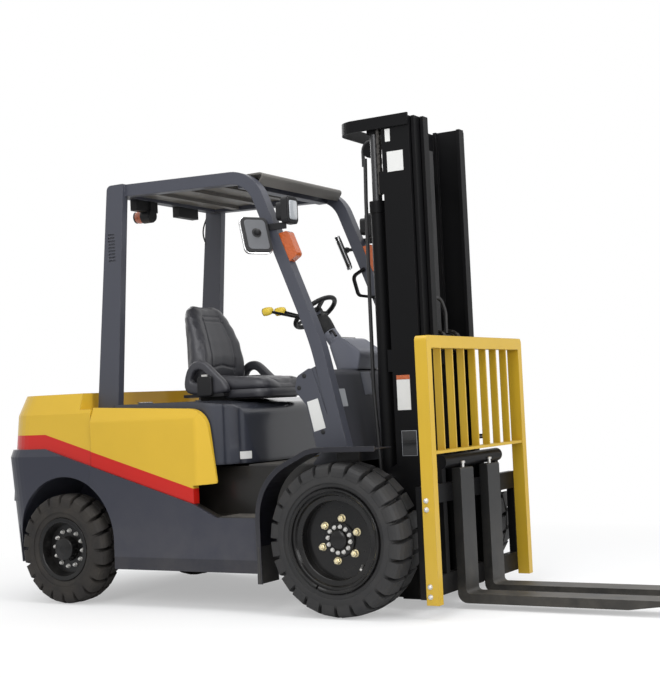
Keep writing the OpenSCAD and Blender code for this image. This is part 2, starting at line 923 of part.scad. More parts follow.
module rear_rim() {
  seat_r = rear_rim_r - 16;
  turned(-wheelbase, rear_tyre_r)
    polygon(rounded([
      [rear_spindle_r + run, rear_y - 84], [rear_rim_r - 30, rear_y - 84],
      [rear_rim_r - 30, rear_y - rear_tyre_w + 4], [seat_r, rear_y - rear_tyre_w + 4], [seat_r, rear_y - 24],
      [rear_rim_r, rear_y - 24], [rear_rim_r, rear_y - 10, 5], [rear_rim_r - 24, rear_y - 10, 5],
      [rear_rim_r - 40, rear_y - 66], [rear_hub_r + 4, rear_y - 66], [rear_hub_r - 4, rear_y - 18, 8],
      [20, rear_y - 12], [0, rear_y - 12], [0, rear_y - 29], [rear_spindle_r + run, rear_y - 29]
    ], 3));
}
module rear_tyre() {
  bead_r = rear_rim_r - 16 + gap;
  lugs_left(-wheelbase, rear_tyre_r, rear_tyre_r, rear_tyre_w, rear_y, rear_groove, rear_lugs)
    turned(-wheelbase, rear_tyre_r, 20)
      polygon([
        [bead_r, rear_y - rear_tyre_w + 20], [bead_r, rear_y - 24 - gap],
        [rear_rim_r + gap, rear_y - 24 - gap], [rear_rim_r + gap, rear_y - 10],
        [rear_rim_r + 20, rear_y], [rear_tyre_r - 27, rear_y],
        [rear_tyre_r, rear_y - 27], [rear_tyre_r, rear_y - rear_tyre_w + 27],
        [rear_tyre_r - 27, rear_y - rear_tyre_w], [rear_rim_r + 8, rear_y - rear_tyre_w]
      ]);
}
module front_rim_right() { color(black) mirror([0, 1, 0]) front_rim(); }
module front_rim_left() { color(black) front_rim(); }
module front_tyre_right() { color(dark) mirror([0, 1, 0]) front_tyre(); }
module front_tyre_left() { color(dark) front_tyre(); }
module rear_rim_right() { color(black) mirror([0, 1, 0]) rear_rim(); }
module rear_rim_left() { color(black) rear_rim(); }
module rear_tyre_right() { color(dark) mirror([0, 1, 0]) rear_tyre(); }
module rear_tyre_left() { color(dark) rear_tyre(); }

// Hood: a leaning front and slanted corners, shelled from below
module hood_form(inset, base) {
  front = hood_front - inset;
  out = hood_y - inset;
  corner = hood_y - hood_corner.y;
  intersection() {
    from_side(-out, out)
      polygon(rounded([
        [hood_rear - 1, base], [front, base], [front - hood_lean, hood_shoulder_z - inset, 70],
        [hood_front - 260, hood_top - inset, 200], [hood_rear - 1, hood_top - inset]
      ], 8));
    linear_extrude(hood_top + 1)
      polygon(rounded([
        [hood_rear, -out], [hood_front - hood_corner.x, -out, 110], [front, -corner, 260],
        [front, corner, 260], [hood_front - hood_corner.x, out, 110], [hood_rear, out]
      ], 8));
  }
}
// Flutes run up the slanted corners of the hood and over its shoulder
module hood_flutes() {
  both_sides()
    for (t = flute_at)
      translate([hood_front - hood_corner.x * (1 - t), hood_y - hood_corner.y * t, hood_z - 5])
        translate(flute_out) cylinder(h = hood_top - hood_z + 10, r = flute_r);
}
module hood() {
  color(dark)
    difference() {
      union() {
        hood_form(0, hood_z);
        for (y = hinge_at)
          rod_y(hinge.x, y, y + hinge_l, hinge.y, hinge_r);
      }
      hood_form(hood_t, hood_z - 10);
      for (y = hinge_at)
        rod_y(hinge.x, y - 1, y + hinge_l + 1, hinge.y, hinge_pin_r + run);
      hood_flutes();
    }
}

module seat_base() {
  color(black) {
    box([-1120, -700], [-170, 170], [hood_top + 0.2, seat_z - 16]);
    box([-1200, -740], [-200, 200], [seat_z - 17, seat_z]);
    box([-1150, -880], [-hip_y[1], hip_y[1]], [seat_z - 17, seat_z]);
  }
}
module seat_cushion() {
  low = seat_z + 0.4;
  color(black)
    from_side(-seat_y, seat_y)
      polygon(rounded([
        [-1120, low, 20], [-640, low, 24], [-612, 1150, 26], [-660, 1188, 40], [-980, 1176, 60],
        [-1120, 1200, 30]
      ]));
}
module seat_back() {
  low = seat_z + gap;
  color(black)
    intersection() {
      from_side(-seat_back_y, seat_back_y)
        polygon(rounded([
          [-1125, low, 6], [-1125, 1214], [-1064, 1232, 25], [-1092, 1410, 300], [-1192, 1634, 25],
          [-1244, 1634, 30], [-1206, 1410, 300], [-1196, low, 6]
        ]));
      from_front(-1400, -1000)
        polygon(rounded([
          [-seat_back_y, 1100], [seat_back_y, 1100], [seat_back_y, 1420, 200], [seat_back_y - 34, 1638, 85],
          [34 - seat_back_y, 1638, 85], [-seat_back_y, 1420, 200]
        ]));
    }
}
// Hip restraints: open arches on both sides of the cushion
module hip_restraints() {
  low = seat_z + gap;
  color(black)
    both_sides()
      from_side(hip_y[0], hip_y[1])
        difference() {
          polygon(rounded([
            [-1150, low, 20], [-870, low, 20], [-880, 1170, 40], [-1000, 1300, 50], [-1090, 1290, 50]
          ]));
          polygon(rounded([[-1105, 1190, 15], [-960, 1190, 15], [-1010, 1262, 20], [-1070, 1262, 20]]));
        }
}

// Rails: the outer one is a channel, the inner two are beams set forward and inward by one stage
module beam(i, z0, z1) {
  translate([0, 0, z0])
    linear_extrude(z1 - z0) {
      translate([stage_back(i), web_y(i)]) square([rail_d, web_t]);
      for (x = [stage_back(i), stage_back(i) + rail_d - flange_t])
        translate([x, web_y(i) - flange_in]) square([flange_t, flange_tip(i) - web_y(i) + flange_in]);
    }
}
// Guide roller of stage i, running between the flanges of the stage outside it
module guide_roller(i, z) {
  rod_y(stage_back(i - 1) + rail_d / 2, web_y(i) + web_t - 1, flange_tip(i), z, roller_r);
}
module outer_rail(z0, z1) {
  translate([0, 0, z0])
    linear_extrude(z1 - z0) {
      translate([mast_x, mast_w / 2 - outer_web_t]) square([rail_d, outer_web_t]);
      for (x = [mast_x, mast_x + rail_d - flange_t])
        translate([x, outer_in]) square([flange_t, outer_flange]);
    }
}
// Plate across a stage, behind its rails
module tie(i, t, y, z) {
  box([stage_back(i) - t, stage_back(i) + 0.5], [-y, y], z);
}
// Bow that ties the outer rails together behind the lift cylinders
module bow_outline(y, rear, r) {
  front = mast_x + rail_d;
  polygon(rounded([[front, -y], [rear, -y, r], [rear, y, r], [front, y]], 8));
}
module mast_bow() {
  translate([0, 0, mast_h - bow_h])
    linear_extrude(bow_h)
      difference() {
        bow_outline(bow_y, bow_rear, bow_r);
        translate([1, 0]) bow_outline(bow_y - bow_t, bow_rear + bow_t, bow_r - bow_t);
      }
}
// Bracket that hangs the mast on the axle and carries a lift cylinder
module mast_bracket() {
  from_side(outer_in - 6, mast_w / 2 - 8)
    polygon(rounded([
      [mast_x + 1, 250], [mast_x + 1, lift_barrel_z[0]], [50, lift_barrel_z[0], 40], [-110, 450, 60],
      [-110, 300, 60], [60, 270, 40]
    ]));
}
// Arm and pin for a tilt cylinder
module tilt_arm() {
  rod_y(tilt_arm_x, mast_w / 2 - tilt_arm_t, tilt_y + 30, tilt_arm_z, tilt_pin_r);
  from_side(mast_w / 2 - tilt_arm_t, mast_w / 2)
    polygon(rounded([
      [mast_x + 1, tilt_arm_z - 80], [mast_x + 1, tilt_arm_z + 80], [tilt_arm_x, tilt_arm_z + 50, 40],
      [tilt_arm_x - 50, tilt_arm_z, 40], [tilt_arm_x, tilt_arm_z - 50, 40]
    ]));
}
module mast_outer() {
  color(black)
    difference() {
      union() {
        both_sides() {
          outer_rail(mast_foot, rail_top);
          mast_bracket();
          tilt_arm();
        }
        for (z = [[60, 250], span(rail_top / 2, [-47, 63]), span(rail_top, [-373, -263])])
          tie(0, outer_tie_t, mast_w / 2, z);
        mast_bow();
      }
      both_sides() rod_y(0, outer_in - 40, mast_w / 2 + 40, front_axle_z, axle_tube_r + run);
    }
}
module lift_barrels() {
  barrel_l = lift_barrel_z[1] - lift_barrel_z[0];
  color(black)
    both_sides()
      translate([lift_x, lift_y, lift_barrel_z[0]])
        difference() {
          union() {
            cylinder(h = barrel_l, r = lift_barrel_r);
            translate([0, 0, barrel_l - gland[1]]) cylinder(h = gland[1], r = lift_barrel_r + gland[0]);
          }
          translate([0, 0, 20]) cylinder(h = lift_barrel_z[1], r = lift_rod_r + run);
        }
}
// Middle stage, with the crosshead that the lift rods push and the pulleys for the hoses
module mast_middle() {
  color(black) {
    both_sides() {
      beam(1, mast_foot + 20, rail_top);
      guide_roller(1, mast_foot + 110);
      box([100, stage_back(1) + 1], span(web_y(1), [-flange_in - 14, -8]), [rail_top - head_h, rail_top]);
      rod_y(hose_x, hose_y - hose_w / 2, hose_y + hose_w / 2, rail_top - 124, hose_r);
      box([hose_x - 12, head_x[0] + 1], span(hose_y, [-24, -13]), span(rail_top, [-140, -4]));
    }
    box(head_x, [-lift_y - 30, lift_y + 30], [rail_top - head_h, rail_top]);
    for (z = [[90, 230], span(rail_top / 2, [174, 264])])
      tie(1, middle_tie_t, 250, z);
  }
}
module lift_rods() {
  foot = lift_barrel_z[0] + 90;
  color(steel)
    both_sides()
      translate([lift_x, lift_y, foot])
        cylinder(h = rail_top - head_h - foot, r = lift_rod_r);
}
module mast_inner() {
  color(black) {
    both_sides() {
      beam(2, mast_foot + 40, rail_top);
      guide_roller(2, mast_foot + 140);
    }
    for (z = [[110, 240], span(rail_top, [-110, -10])])
      tie(2, inner_tie_t, web_y(2), z);
    box([stage_back(2), free_x + free_r + 4], [-web_y(2) - 1, web_y(2) + 1], [100, free_z[0]]);
  }
}
module free_lift_barrel() {
  color(black)
    translate([free_x, 0, free_z[0]])
      difference() {
        cylinder(h = free_z[1] - free_z[0], r = free_r);
        translate([0, 0, 20]) cylinder(h = free_z[1], r = free_rod_r + run);
      }
}
// Crosshead of the free-lift cylinder, with two chain sheaves
module free_lift_head() {
  foot = free_z[0] + 60;
  color(steel) {
    translate([free_x, 0, foot]) cylinder(h = sheave_z - foot, r = free_rod_r);
    rod_y(free_x, -110, 110, sheave_z, 18);
    box(span(free_x, [-34, 34]), [-50, 50], span(sheave_z, [-40, 40]));
    both_sides() rod_y(free_x, chain_y - sheave_w / 2, chain_y + sheave_w / 2, sheave_z, sheave_r);
  }
}
// Leaf chains: wide and narrow links follow each other
module chain_run(x, z0, z1, links) {
  pitch = (z1 - z0) / links;
  from_front(x, x + chain_t - gap)
    polygon([
      for (i = [0:links - 1]) each [for (k = [0, 1]) [chain_y - chain_half[i % 2], z0 + (i + k) * pitch]],
      for (i = [links - 1:-1:0]) each [for (k = [1, 0]) [chain_y + chain_half[i % 2], z0 + (i + k) * pitch]]
    ]);
}
module chain_rear_runs() {
  color(steel)
    both_sides() chain_run(free_x - sheave_r - chain_t, free_z[0], sheave_z, 1);
}
module lift_chains() {
  color(steel)
    both_sides() chain_run(free_x + sheave_r + gap, upper_bar_z[0], sheave_z, chain_links);
}

// Carriage: two fork bars on uprights, with rollers in the inner rails
module carriage() {
  color(black) {
    for (z = [upper_bar_z, lower_bar_z])
      box(bar_x, [-carriage_w / 2, carriage_w / 2], z);
    rod_y(tie_tube_x, -tie_tube_y, tie_tube_y, tie_tube_z, tie_tube_r);
    both_sides() {
      box([carriage_plate[0], bar_x[0] + 1], [carriage_plate[1], carriage_plate[2]], [140, 700]);
      for (z = [190, 600])
        rod_y(stage_back(2) + rail_d / 2, carriage_plate[2] - 6, web_y(2) - 7, z, roller_r);
      for (y = upright_y)
        box(bar_x + [6, -4], [y, y + upright_w], [lower_bar_z[0] + 20, upright_z]);
      box(bar_x, span(carriage_w / 2, [-upright_w, 0]), [lower_bar_z[0], upper_bar_z[1]]);
      box([free_x + sheave_r + chain_t, bar_x[0] + 1], span(chain_y, [-16, 16]), upper_bar_z + [0, -19]);
    }
    box([bar_x[0] - 20, bar_x[0] + 1], [-carriage_plate[2], carriage_plate[2]], upper_bar_z + [4, -4]);
  }
}

// Load backrest: a bent frame with upright bars over a thin cross plate
module backrest_outline() {
  out = backrest_w / 2;
  difference() {
    polygon(rounded([
      [-out, post_foot], [-out, backrest_h, backrest_corner], [out, backrest_h, backrest_corner],
      [out, post_foot]
    ]));
    translate([post_w - out, post_foot - 1])
      square([2 * (out - post_w), backrest_h - top_bar_h - post_foot + 1]);
  }
}
module load_backrest() {
  inside = backrest_w / 2 - post_w;
  color(yellow) {
    from_front(bar_x[1], post_front) backrest_outline();
    box([bar_x[1] + 4, post_front - 4], [-inside - 1, inside + 1], cross_bar_z);
    for (i = [1:backrest_bars]) {
      y = -inside + i * 2 * inside / (backrest_bars + 1);
      box([bar_x[1] + 10, fork_face_x + 1], span(y, [-bar_t / 2, bar_t / 2]), bars_z);
    }
  }
}
module forks() {
  color(black)
    for (s = [-1, 1])
      from_side(s * fork_pitch / 2 - fork_w / 2, s * fork_pitch / 2 + fork_w / 2)
        polygon(rounded([
          [fork_back, blade_z, 50], [front_end - fork_taper, blade_z], [front_end, blade_z + fork_t - 12, 4],
          [front_end, blade_z + fork_t, 4], [fork_face_x, blade_z + fork_t, 20], [fork_face_x, fork_top, 10],
          [fork_back, fork_top]
        ]));
}

// Tilt cylinders lie along the line from the frame's pin to the mast's arm
module along_tilt() {
  translate([tilt_base.x, tilt_y, tilt_base.y])
    rotate([0, 90 - atan2(tilt_vec.y, tilt_vec.x), 0]) children();
}
module tilt_barrel() {
  along_tilt()
    difference() {
      union() {
        rod_y(0, -eye_half, eye_half, 0, eye_r);
        translate([0, 0, eye_r - 2]) cylinder(h = barrel_len - eye_r + 2, r = barrel_r);
      }
      rod_y(0, -eye_half - 1, eye_half + 1, 0, tilt_pin_r + run);
      translate([0, 0, 60]) cylinder(h = barrel_len, r = tilt_rod_r + run);
    }
}
module tilt_rod() {
  foot = 130;
  along_tilt()
    difference() {
      union() {
        translate([0, 0, foot]) cylinder(h = tilt_len - foot - 26, r = tilt_rod_r);
        translate([0, 0, tilt_len]) rod_y(0, -eye_half, eye_half, 0, eye_r - 1);
      }
      translate([0, 0, tilt_len]) rod_y(0, -eye_half - 6, eye_half + 6, 0, tilt_pin_r + eye_slack);
    }
}
module tilt_barrel_right() { color(black) mirror([0, 1, 0]) tilt_barrel(); }
module tilt_barrel_left() { color(black) tilt_barrel(); }
module tilt_rod_right() { color(steel) mirror([0, 1, 0]) tilt_rod(); }
module tilt_rod_left() { color(steel) tilt_rod(); }

at_axle() frame();
at_axle() counterweight();
at_axle() tow_pin();
at_axle() side_covers();
at_axle() floor_plate();
at_axle() dash();
at_axle() instrument_cowl();
at_axle() steering_column();
at_axle() control_levers();
at_axle() pedals();
at_axle() overhead_guard();
at_axle() roof_panel();
at_axle() fenders();
at_axle() mirrors();
at_axle() work_lamps();
at_axle() turn_lamps();
at_axle() rear_lamps();
at_axle() grab_handle();
at_axle() drive_axle();
at_axle() engine_block();
at_axle() steer_axle();
at_axle() front_rim_right();
at_axle() front_tyre_right();
at_axle() front_rim_left();
at_axle() front_tyre_left();
at_axle() knuckle_right();
at_axle() knuckle_left();
at_axle() rear_rim_right();
at_axle() rear_tyre_right();
at_axle() rear_rim_left();
at_axle() rear_tyre_left();
at_axle() hood();
at_axle() seat_base();
at_axle() seat_cushion();
at_axle() seat_back();
at_axle() hip_restraints();
at_axle() steering_wheel();
at_axle() mast_outer();
at_axle() lift_barrels();
at_axle() mast_middle();
at_axle() lift_rods();
at_axle() mast_inner();
at_axle() free_lift_barrel();
at_axle() free_lift_head();
at_axle() chain_rear_runs();
at_axle() lift_chains();
at_axle() carriage();
at_axle() load_backrest();
at_axle() forks();
at_axle() tilt_barrel_right();
at_axle() tilt_barrel_left();
at_axle() tilt_rod_right();
at_axle() tilt_rod_left();
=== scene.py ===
"""Looks of the counterbalance forklift truck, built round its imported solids."""
import math

import bmesh
import bpy
from mathutils import Matrix, Vector


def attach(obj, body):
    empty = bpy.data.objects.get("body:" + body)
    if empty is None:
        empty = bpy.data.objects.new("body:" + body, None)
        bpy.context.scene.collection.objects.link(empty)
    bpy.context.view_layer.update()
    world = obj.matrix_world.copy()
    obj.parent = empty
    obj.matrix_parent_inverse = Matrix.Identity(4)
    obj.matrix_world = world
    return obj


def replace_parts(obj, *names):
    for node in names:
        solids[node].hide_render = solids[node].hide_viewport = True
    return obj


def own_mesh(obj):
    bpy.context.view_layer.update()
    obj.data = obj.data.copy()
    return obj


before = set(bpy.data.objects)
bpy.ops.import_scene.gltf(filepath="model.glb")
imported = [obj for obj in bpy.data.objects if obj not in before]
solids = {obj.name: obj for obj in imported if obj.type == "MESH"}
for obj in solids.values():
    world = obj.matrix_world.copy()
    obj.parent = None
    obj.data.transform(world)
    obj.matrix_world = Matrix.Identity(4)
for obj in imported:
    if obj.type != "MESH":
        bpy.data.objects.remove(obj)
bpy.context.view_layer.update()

# Places are written in millimetres from the front axle's middle on the ground, as in the part's source.
AXLE_OFFSET = 349
SIDES = ((-1, "right"), (1, "left"))


def at(x, y, z):
    return Vector(((x + AXLE_OFFSET) / 1000, y / 1000, z / 1000))


def mm(*sizes):
    return [s / 1000 for s in sizes]


# Shader groups that several finishes share

def new_group(name, inputs, outputs):
    group = bpy.data.node_groups.new(name, "ShaderNodeTree")
    for label, kind, value in inputs:
        socket = group.interface.new_socket(label, in_out="INPUT", socket_type=kind)
        socket.default_value = value
    for label, kind in outputs:
        group.interface.new_socket(label, in_out="OUTPUT", socket_type=kind)
    return group, group.nodes.new("NodeGroupInput"), group.nodes.new("NodeGroupOutput")


def node(tree, kind, settings=None, **sockets):
    """A new node; a socket is named with _ for a space, or by its number as i0, i1 and so on."""
    made = tree.nodes.new(kind)
    for key, value in (settings or {}).items():
        setattr(made, key, value)
    for key, value in sockets.items():
        numbered = key[0] == "i" and key[1:].isdigit()
        target = made.inputs[int(key[1:]) if numbered else key.replace("_", " ")]
        if isinstance(value, bpy.types.NodeSocket):
            tree.links.new(value, target)
        else:
            target.default_value = value
    return made


def math_node(tree, operation, a, b=None, clamp=False):
    sockets = {"i0": a}
    if b is not None:
        sockets["i1"] = b
    return node(tree, "ShaderNodeMath", {"operation": operation, "use_clamp": clamp}, **sockets).outputs[0]


def mix_colour(tree, factor, a, b, blend="MIX"):
    made = tree.nodes.new("ShaderNodeMix")
    made.data_type = "RGBA"
    made.blend_type = blend
    for socket, value in ((made.inputs[0], factor), (made.inputs[6], a), (made.inputs[7], b)):
        if isinstance(value, bpy.types.NodeSocket):
            tree.links.new(value, socket)
        else:
            socket.default_value = value
    return made.outputs[2]


def ramp(tree, value, low, high):
    made = node(tree, "ShaderNodeMapRange", {"clamp": True}, Value=value, From_Min=low, From_Max=high)
    return made.outputs[0]


def object_coordinates(tree):
    return tree.nodes.new("ShaderNodeTexCoord").outputs["Object"]


def noise(tree, place, scale, detail=3.0, roughness=0.5):
    return node(tree, "ShaderNodeTexNoise", Vector=place, Scale=scale, Detail=detail,
                Roughness=roughness).outputs["Fac"]


FLOAT, COLOUR, VECTOR = "NodeSocketFloat", "NodeSocketColor", "NodeSocketVector"


def build_edge_group():
    """Soft corners, and a mask of the places where paint rubs off along them; some finishes also use this
    mask for painted highlight along their edges.
    """
    group, given, out = new_group(
        "worn_and_highlit_edges", [("Radius", FLOAT, 0.003), ("Breakup", FLOAT, 24.0)],
        [("Mask", FLOAT), ("Normal", VECTOR)])
    bevel = node(group, "ShaderNodeBevel", {"samples": 3}, Radius=given.outputs["Radius"])
    flat = group.nodes.new("ShaderNodeNewGeometry").outputs["Normal"]
    facing = node(group, "ShaderNodeVectorMath", {"operation": "DOT_PRODUCT"}, i0=bevel.outputs[0], i1=flat)
    bend = math_node(group, "SUBTRACT", 1.0, facing.outputs["Value"])
    # The edge mask: worn paint, and on some finishes painted highlight along the edges.
    rubbed_and_highlit = ramp(group, bend, 0.03, 0.25)
    cloud = noise(group, object_coordinates(group), given.outputs["Breakup"], 5.0, 0.65)
    patches = ramp(group, cloud, 0.45, 0.62)
    group.links.new(math_node(group, "MULTIPLY", rubbed_and_highlit, patches), out.inputs["Mask"])
    group.links.new(bevel.outputs[0], out.inputs["Normal"])
    return group


def build_dust_group():
    """Dust that settles on upward faces and splashes up from the ground."""
    group, given, out = new_group(
        "settled_dust", [("Reach", FLOAT, 0.5), ("Amount", FLOAT, 0.3)], [("Mask", FLOAT)])
    place = object_coordinates(group)
    height = node(group, "ShaderNodeSeparateXYZ", Vector=place).outputs["Z"]
    low = math_node(group, "SUBTRACT", 1.0, math_node(group, "DIVIDE", height, given.outputs["Reach"]), True)
    up = node(group, "ShaderNodeSeparateXYZ",
              Vector=group.nodes.new("ShaderNodeNewGeometry").outputs["Normal"]).outputs["Z"]
    top = ramp(group, up, 0.55, 1.0)
    splash = math_node(group, "MULTIPLY", low, 0.8)
    both = math_node(group, "ADD", splash, math_node(group, "MULTIPLY", top, 0.45))
    cloud = ramp(group, noise(group, place, 7.0, 6.0, 0.62), 0.3, 0.75)
    dusty = math_node(group, "MULTIPLY", both, cloud)
    group.links.new(math_node(group, "MULTIPLY", dusty, given.outputs["Amount"], True), out.inputs["Mask"])
    return group


def build_tone_group():
    """Slow changes of tone over a painted or moulded surface."""
    group, given, out = new_group(
        "drifting_tone",
        [("Colour", COLOUR, (0.5, 0.5, 0.5, 1)), ("Scale", FLOAT, 3.0), ("Amount", FLOAT, 0.1)],
        [("Colour", COLOUR)])
    cloud = noise(group, object_coordinates(group), given.outputs["Scale"], 4.0, 0.55)
    swing = math_node(group, "MULTIPLY", math_node(group, "SUBTRACT", cloud, 0.5), given.outputs["Amount"])
    value = math_node(group, "ADD", 1.0, math_node(group, "MULTIPLY", swing, 2.0))
    shade = node(group, "ShaderNodeHueSaturation", Value=value, Color=given.outputs["Colour"])
    group.links.new(shade.outputs[0], out.inputs["Colour"])
    return group


def build_grain_group():
    """Height of a fine surface: soft ripples with a leathery or sandy cell pattern over them."""
    group, given, out = new_group(
        "fine_grain", [("Scale", FLOAT, 300.0), ("Cells", FLOAT, 0.5)], [("Height", FLOAT)])
    place = object_coordinates(group)
    soft = noise(group, place, given.outputs["Scale"], 2.0)
    cell = node(group, "ShaderNodeTexVoronoi", {"feature": "SMOOTH_F1"}, Vector=place,
                Scale=given.outputs["Scale"]).outputs["Distance"]
    mixed = node(group, "ShaderNodeMix", {"data_type": "FLOAT"}, i0=given.outputs["Cells"], i2=soft, i3=cell)
    group.links.new(mixed.outputs[0], out.inputs["Height"])
    return group


worn_and_highlit_edges = build_edge_group()
settled_dust = build_dust_group()
drifting_tone = build_tone_group()
fine_grain = build_grain_group()

DUST_COLOUR = (0.36, 0.32, 0.26, 1)


def use(tree, group, **sockets):
    return node(tree, "ShaderNodeGroup", {"node_tree": group}, **sockets)


def finish(name, colour, rough=0.4, metal=0.0, coat=0.0, coat_rough=0.1, specular=0.5, tone=0.08,
           edge=0.003, wear_and_highlight=None, dust=0.0, dust_reach=0.7, grain=300.0, cells=0.0, bump=0.1, depth=0.0006,
           rough_swing=0.12, height_nodes=None):
    """A finish with drifting tone, soft corners with worn paint that also serves as painted highlight on some
    finishes, dust and a fine grain.

    colour is one colour, or a function that builds the nodes of several."""
    material = bpy.data.materials.new(name)
    material.use_nodes = True
    tree = material.node_tree
    shader = tree.nodes["Principled BSDF"]
    place = object_coordinates(tree)
    base = colour(tree, place) if callable(colour) else (*colour, 1)
    shade = use(tree, drifting_tone, Colour=base, Scale=2.4, Amount=tone).outputs[0]
    corners = use(tree, worn_and_highlit_edges, Radius=edge)
    # Primer rubbed in along worn edges; on some finishes this also paints highlight along the edges.
    if wear_and_highlight:
        rubbed_and_highlit = math_node(tree, "MULTIPLY", corners.outputs["Mask"], wear_and_highlight[1])
        shade = mix_colour(tree, rubbed_and_highlit, shade, (*wear_and_highlight[0], 1))
    cloud = noise(tree, place, 11.0, 4.0, 0.6)
    sheen = math_node(tree, "ADD", rough - rough_swing / 2, math_node(tree, "MULTIPLY", cloud, rough_swing))
    if dust:
        film = use(tree, settled_dust, Reach=dust_reach, Amount=dust).outputs["Mask"]
        shade = mix_colour(tree, film, shade, DUST_COLOUR)
        sheen = math_node(tree, "ADD", sheen, math_node(tree, "MULTIPLY", film, 0.35), True)
    tree.links.new(shade, shader.inputs["Base Color"])
    tree.links.new(sheen, shader.inputs["Roughness"])
    shader.inputs["Metallic"].default_value = metal
    shader.inputs["Coat Weight"].default_value = coat
    shader.inputs["Coat Roughness"].default_value = coat_rough
    shader.inputs["Specular IOR Level"].default_value = specular
    height = use(tree, fine_grain, Scale=grain, Cells=cells).outputs["Height"]
    if height_nodes:
        height = math_node(tree, "ADD", math_node(tree, "MULTIPLY", height, 0.35), height_nodes(tree, place))
    bumped = node(tree, "ShaderNodeBump", Strength=bump, Distance=depth, Height=height,
                  Normal=corners.outputs["Normal"])
    tree.links.new(bumped.outputs[0], shader.inputs["Normal"])
    return material


YELLOW = (0.66, 0.42, 0.032)
RED = (0.52, 0.010, 0.005)
# Primer shows where paint wears off edges; on the fenders it also stands in as painted highlight.
SLATE = (0.028, 0.030, 0.044)
PRIMER_AND_HIGHLIGHT = (0.20, 0.19, 0.18)
BARE = (0.34, 0.33, 0.32)

# The red band: where its slope starts, its lower edge there and at the back, its slope, width and soft edge
BAND_FRONT = at(-868, 0, 545)
BAND_REAR_Z = 0.850
BAND_SLOPE = 0.2985
BAND_WIDTH = 0.080
BAND_EDGE = 0.0012


def stripe_colours(tree, place):
    """Yellow above, a red band along the waist, slate below; the band drops towards the front."""
    parts = node(tree, "ShaderNodeSeparateXYZ", Vector=place)
    behind = math_node(tree, "SUBTRACT", BAND_FRONT.x, parts.outputs["X"])
    slope = math_node(tree, "MULTIPLY", behind, BAND_SLOPE)
    line = math_node(tree, "MINIMUM", math_node(tree, "ADD", slope, BAND_FRONT.z), BAND_REAR_Z)
    above = math_node(tree, "SUBTRACT", parts.outputs["Z"], line)
    over_slate = ramp(tree, above, 0.0, BAND_EDGE)
    over_red = ramp(tree, above, BAND_WIDTH, BAND_WIDTH + BAND_EDGE)
    lower = mix_colour(tree, over_slate, (*SLATE, 1), (*RED, 1))
    return mix_colour(tree, over_red, lower, (*YELLOW, 1))


def skirt_colours(tree, place):
    """Slate on the outer skin with painted shade below the lower crease, where the skirt turns under, black
    on the frame behind it.
    """
    parts = node(tree, "ShaderNodeSeparateXYZ", Vector=place)
    across = math_node(tree, "ABSOLUTE", parts.outputs["Y"])
    # Below this crease the slate turns darker: painted shade where the skirt turns under, away from the
    # light.
    above_painted_shade = ramp(tree, parts.outputs["Z"], 0.262, 0.266)
    skin = mix_colour(tree, above_painted_shade, (0.010, 0.011, 0.020, 1), (*SLATE, 1))
    return mix_colour(tree, ramp(tree, across, 0.598, 0.602), (0.010, 0.009, 0.008, 1), skin)


def ribs(tree, place, axis, scale):
    settings = {"bands_direction": axis, "wave_profile": "SIN"}
    return node(tree, "ShaderNodeTexWave", settings, Vector=place, Scale=scale).outputs["Fac"]


body_paint = finish(
    "body_paint", stripe_colours, rough=0.36, coat=0.25, coat_rough=0.14, specular=0.3,
    wear_and_highlight=(PRIMER_AND_HIGHLIGHT, 0.2), dust=0.08, grain=420, bump=0.06, edge=0.006)
yellow_paint = finish(
    "yellow_paint", (0.58, 0.37, 0.026), rough=0.40, coat=0.2, specular=0.3, wear_and_highlight=(PRIMER_AND_HIGHLIGHT, 0.6),
    dust=0.08, grain=420, bump=0.07)
slate_paint = finish(
    "slate_paint", skirt_colours, rough=0.38, coat=0.2, specular=0.35, wear_and_highlight=(PRIMER_AND_HIGHLIGHT, 0.3), dust=0.12,
    grain=420, bump=0.07, edge=0.005)
# On the fenders the pale worn edges are partly real wear and partly painted highlight, for the thin bright
# lines along the black fender's edges.
fender_paint = finish(
    "fender_paint", (0.010, 0.010, 0.015), rough=0.30, coat=0.4, specular=0.35, wear_and_highlight=(PRIMER_AND_HIGHLIGHT, 0.5),
    dust=0.06, grain=420, bump=0.06, edge=0.004)
guard_paint = finish(
    "guard_paint", (0.050, 0.053, 0.069), rough=0.42, coat=0.15, specular=0.4, wear_and_highlight=(BARE, 0.25),
    dust=0.06, grain=520, bump=0.10, edge=0.006)
roof_paint = finish(
    "roof_paint", (0.115, 0.108, 0.098), rough=0.5, coat=0.1, wear_and_highlight=(BARE, 0.2), dust=0.2, grain=520,
    bump=0.10)
mast_paint = finish(
    "mast_paint", (0.0055, 0.0055, 0.0060), rough=0.42, specular=0.09, wear_and_highlight=((0.07, 0.066, 0.062), 0.4),
    dust=0.05, dust_reach=0.5, grain=380, bump=0.10)
cast_black = finish(
    "cast_black", (0.010, 0.010, 0.011), rough=0.58, specular=0.25, wear_and_highlight=(PRIMER_AND_HIGHLIGHT, 0.3), dust=0.25,
    grain=160, cells=0.4, bump=0.35, depth=0.0012, edge=0.005)
rim_paint = finish(
    "rim_paint", (0.004, 0.004, 0.0045), rough=0.28, coat=0.3, coat_rough=0.15, specular=0.15,
    wear_and_highlight=(PRIMER_AND_HIGHLIGHT, 0.15), dust=0.04, grain=420, bump=0.06)
hood_plastic = finish(
    "hood_plastic", (0.040, 0.043, 0.056), rough=0.22, coat=0.4, coat_rough=0.10, specular=0.25,
    wear_and_highlight=(PRIMER_AND_HIGHLIGHT, 0.08), dust=0.06, grain=600, bump=0.04, edge=0.024, rough_swing=0.08)
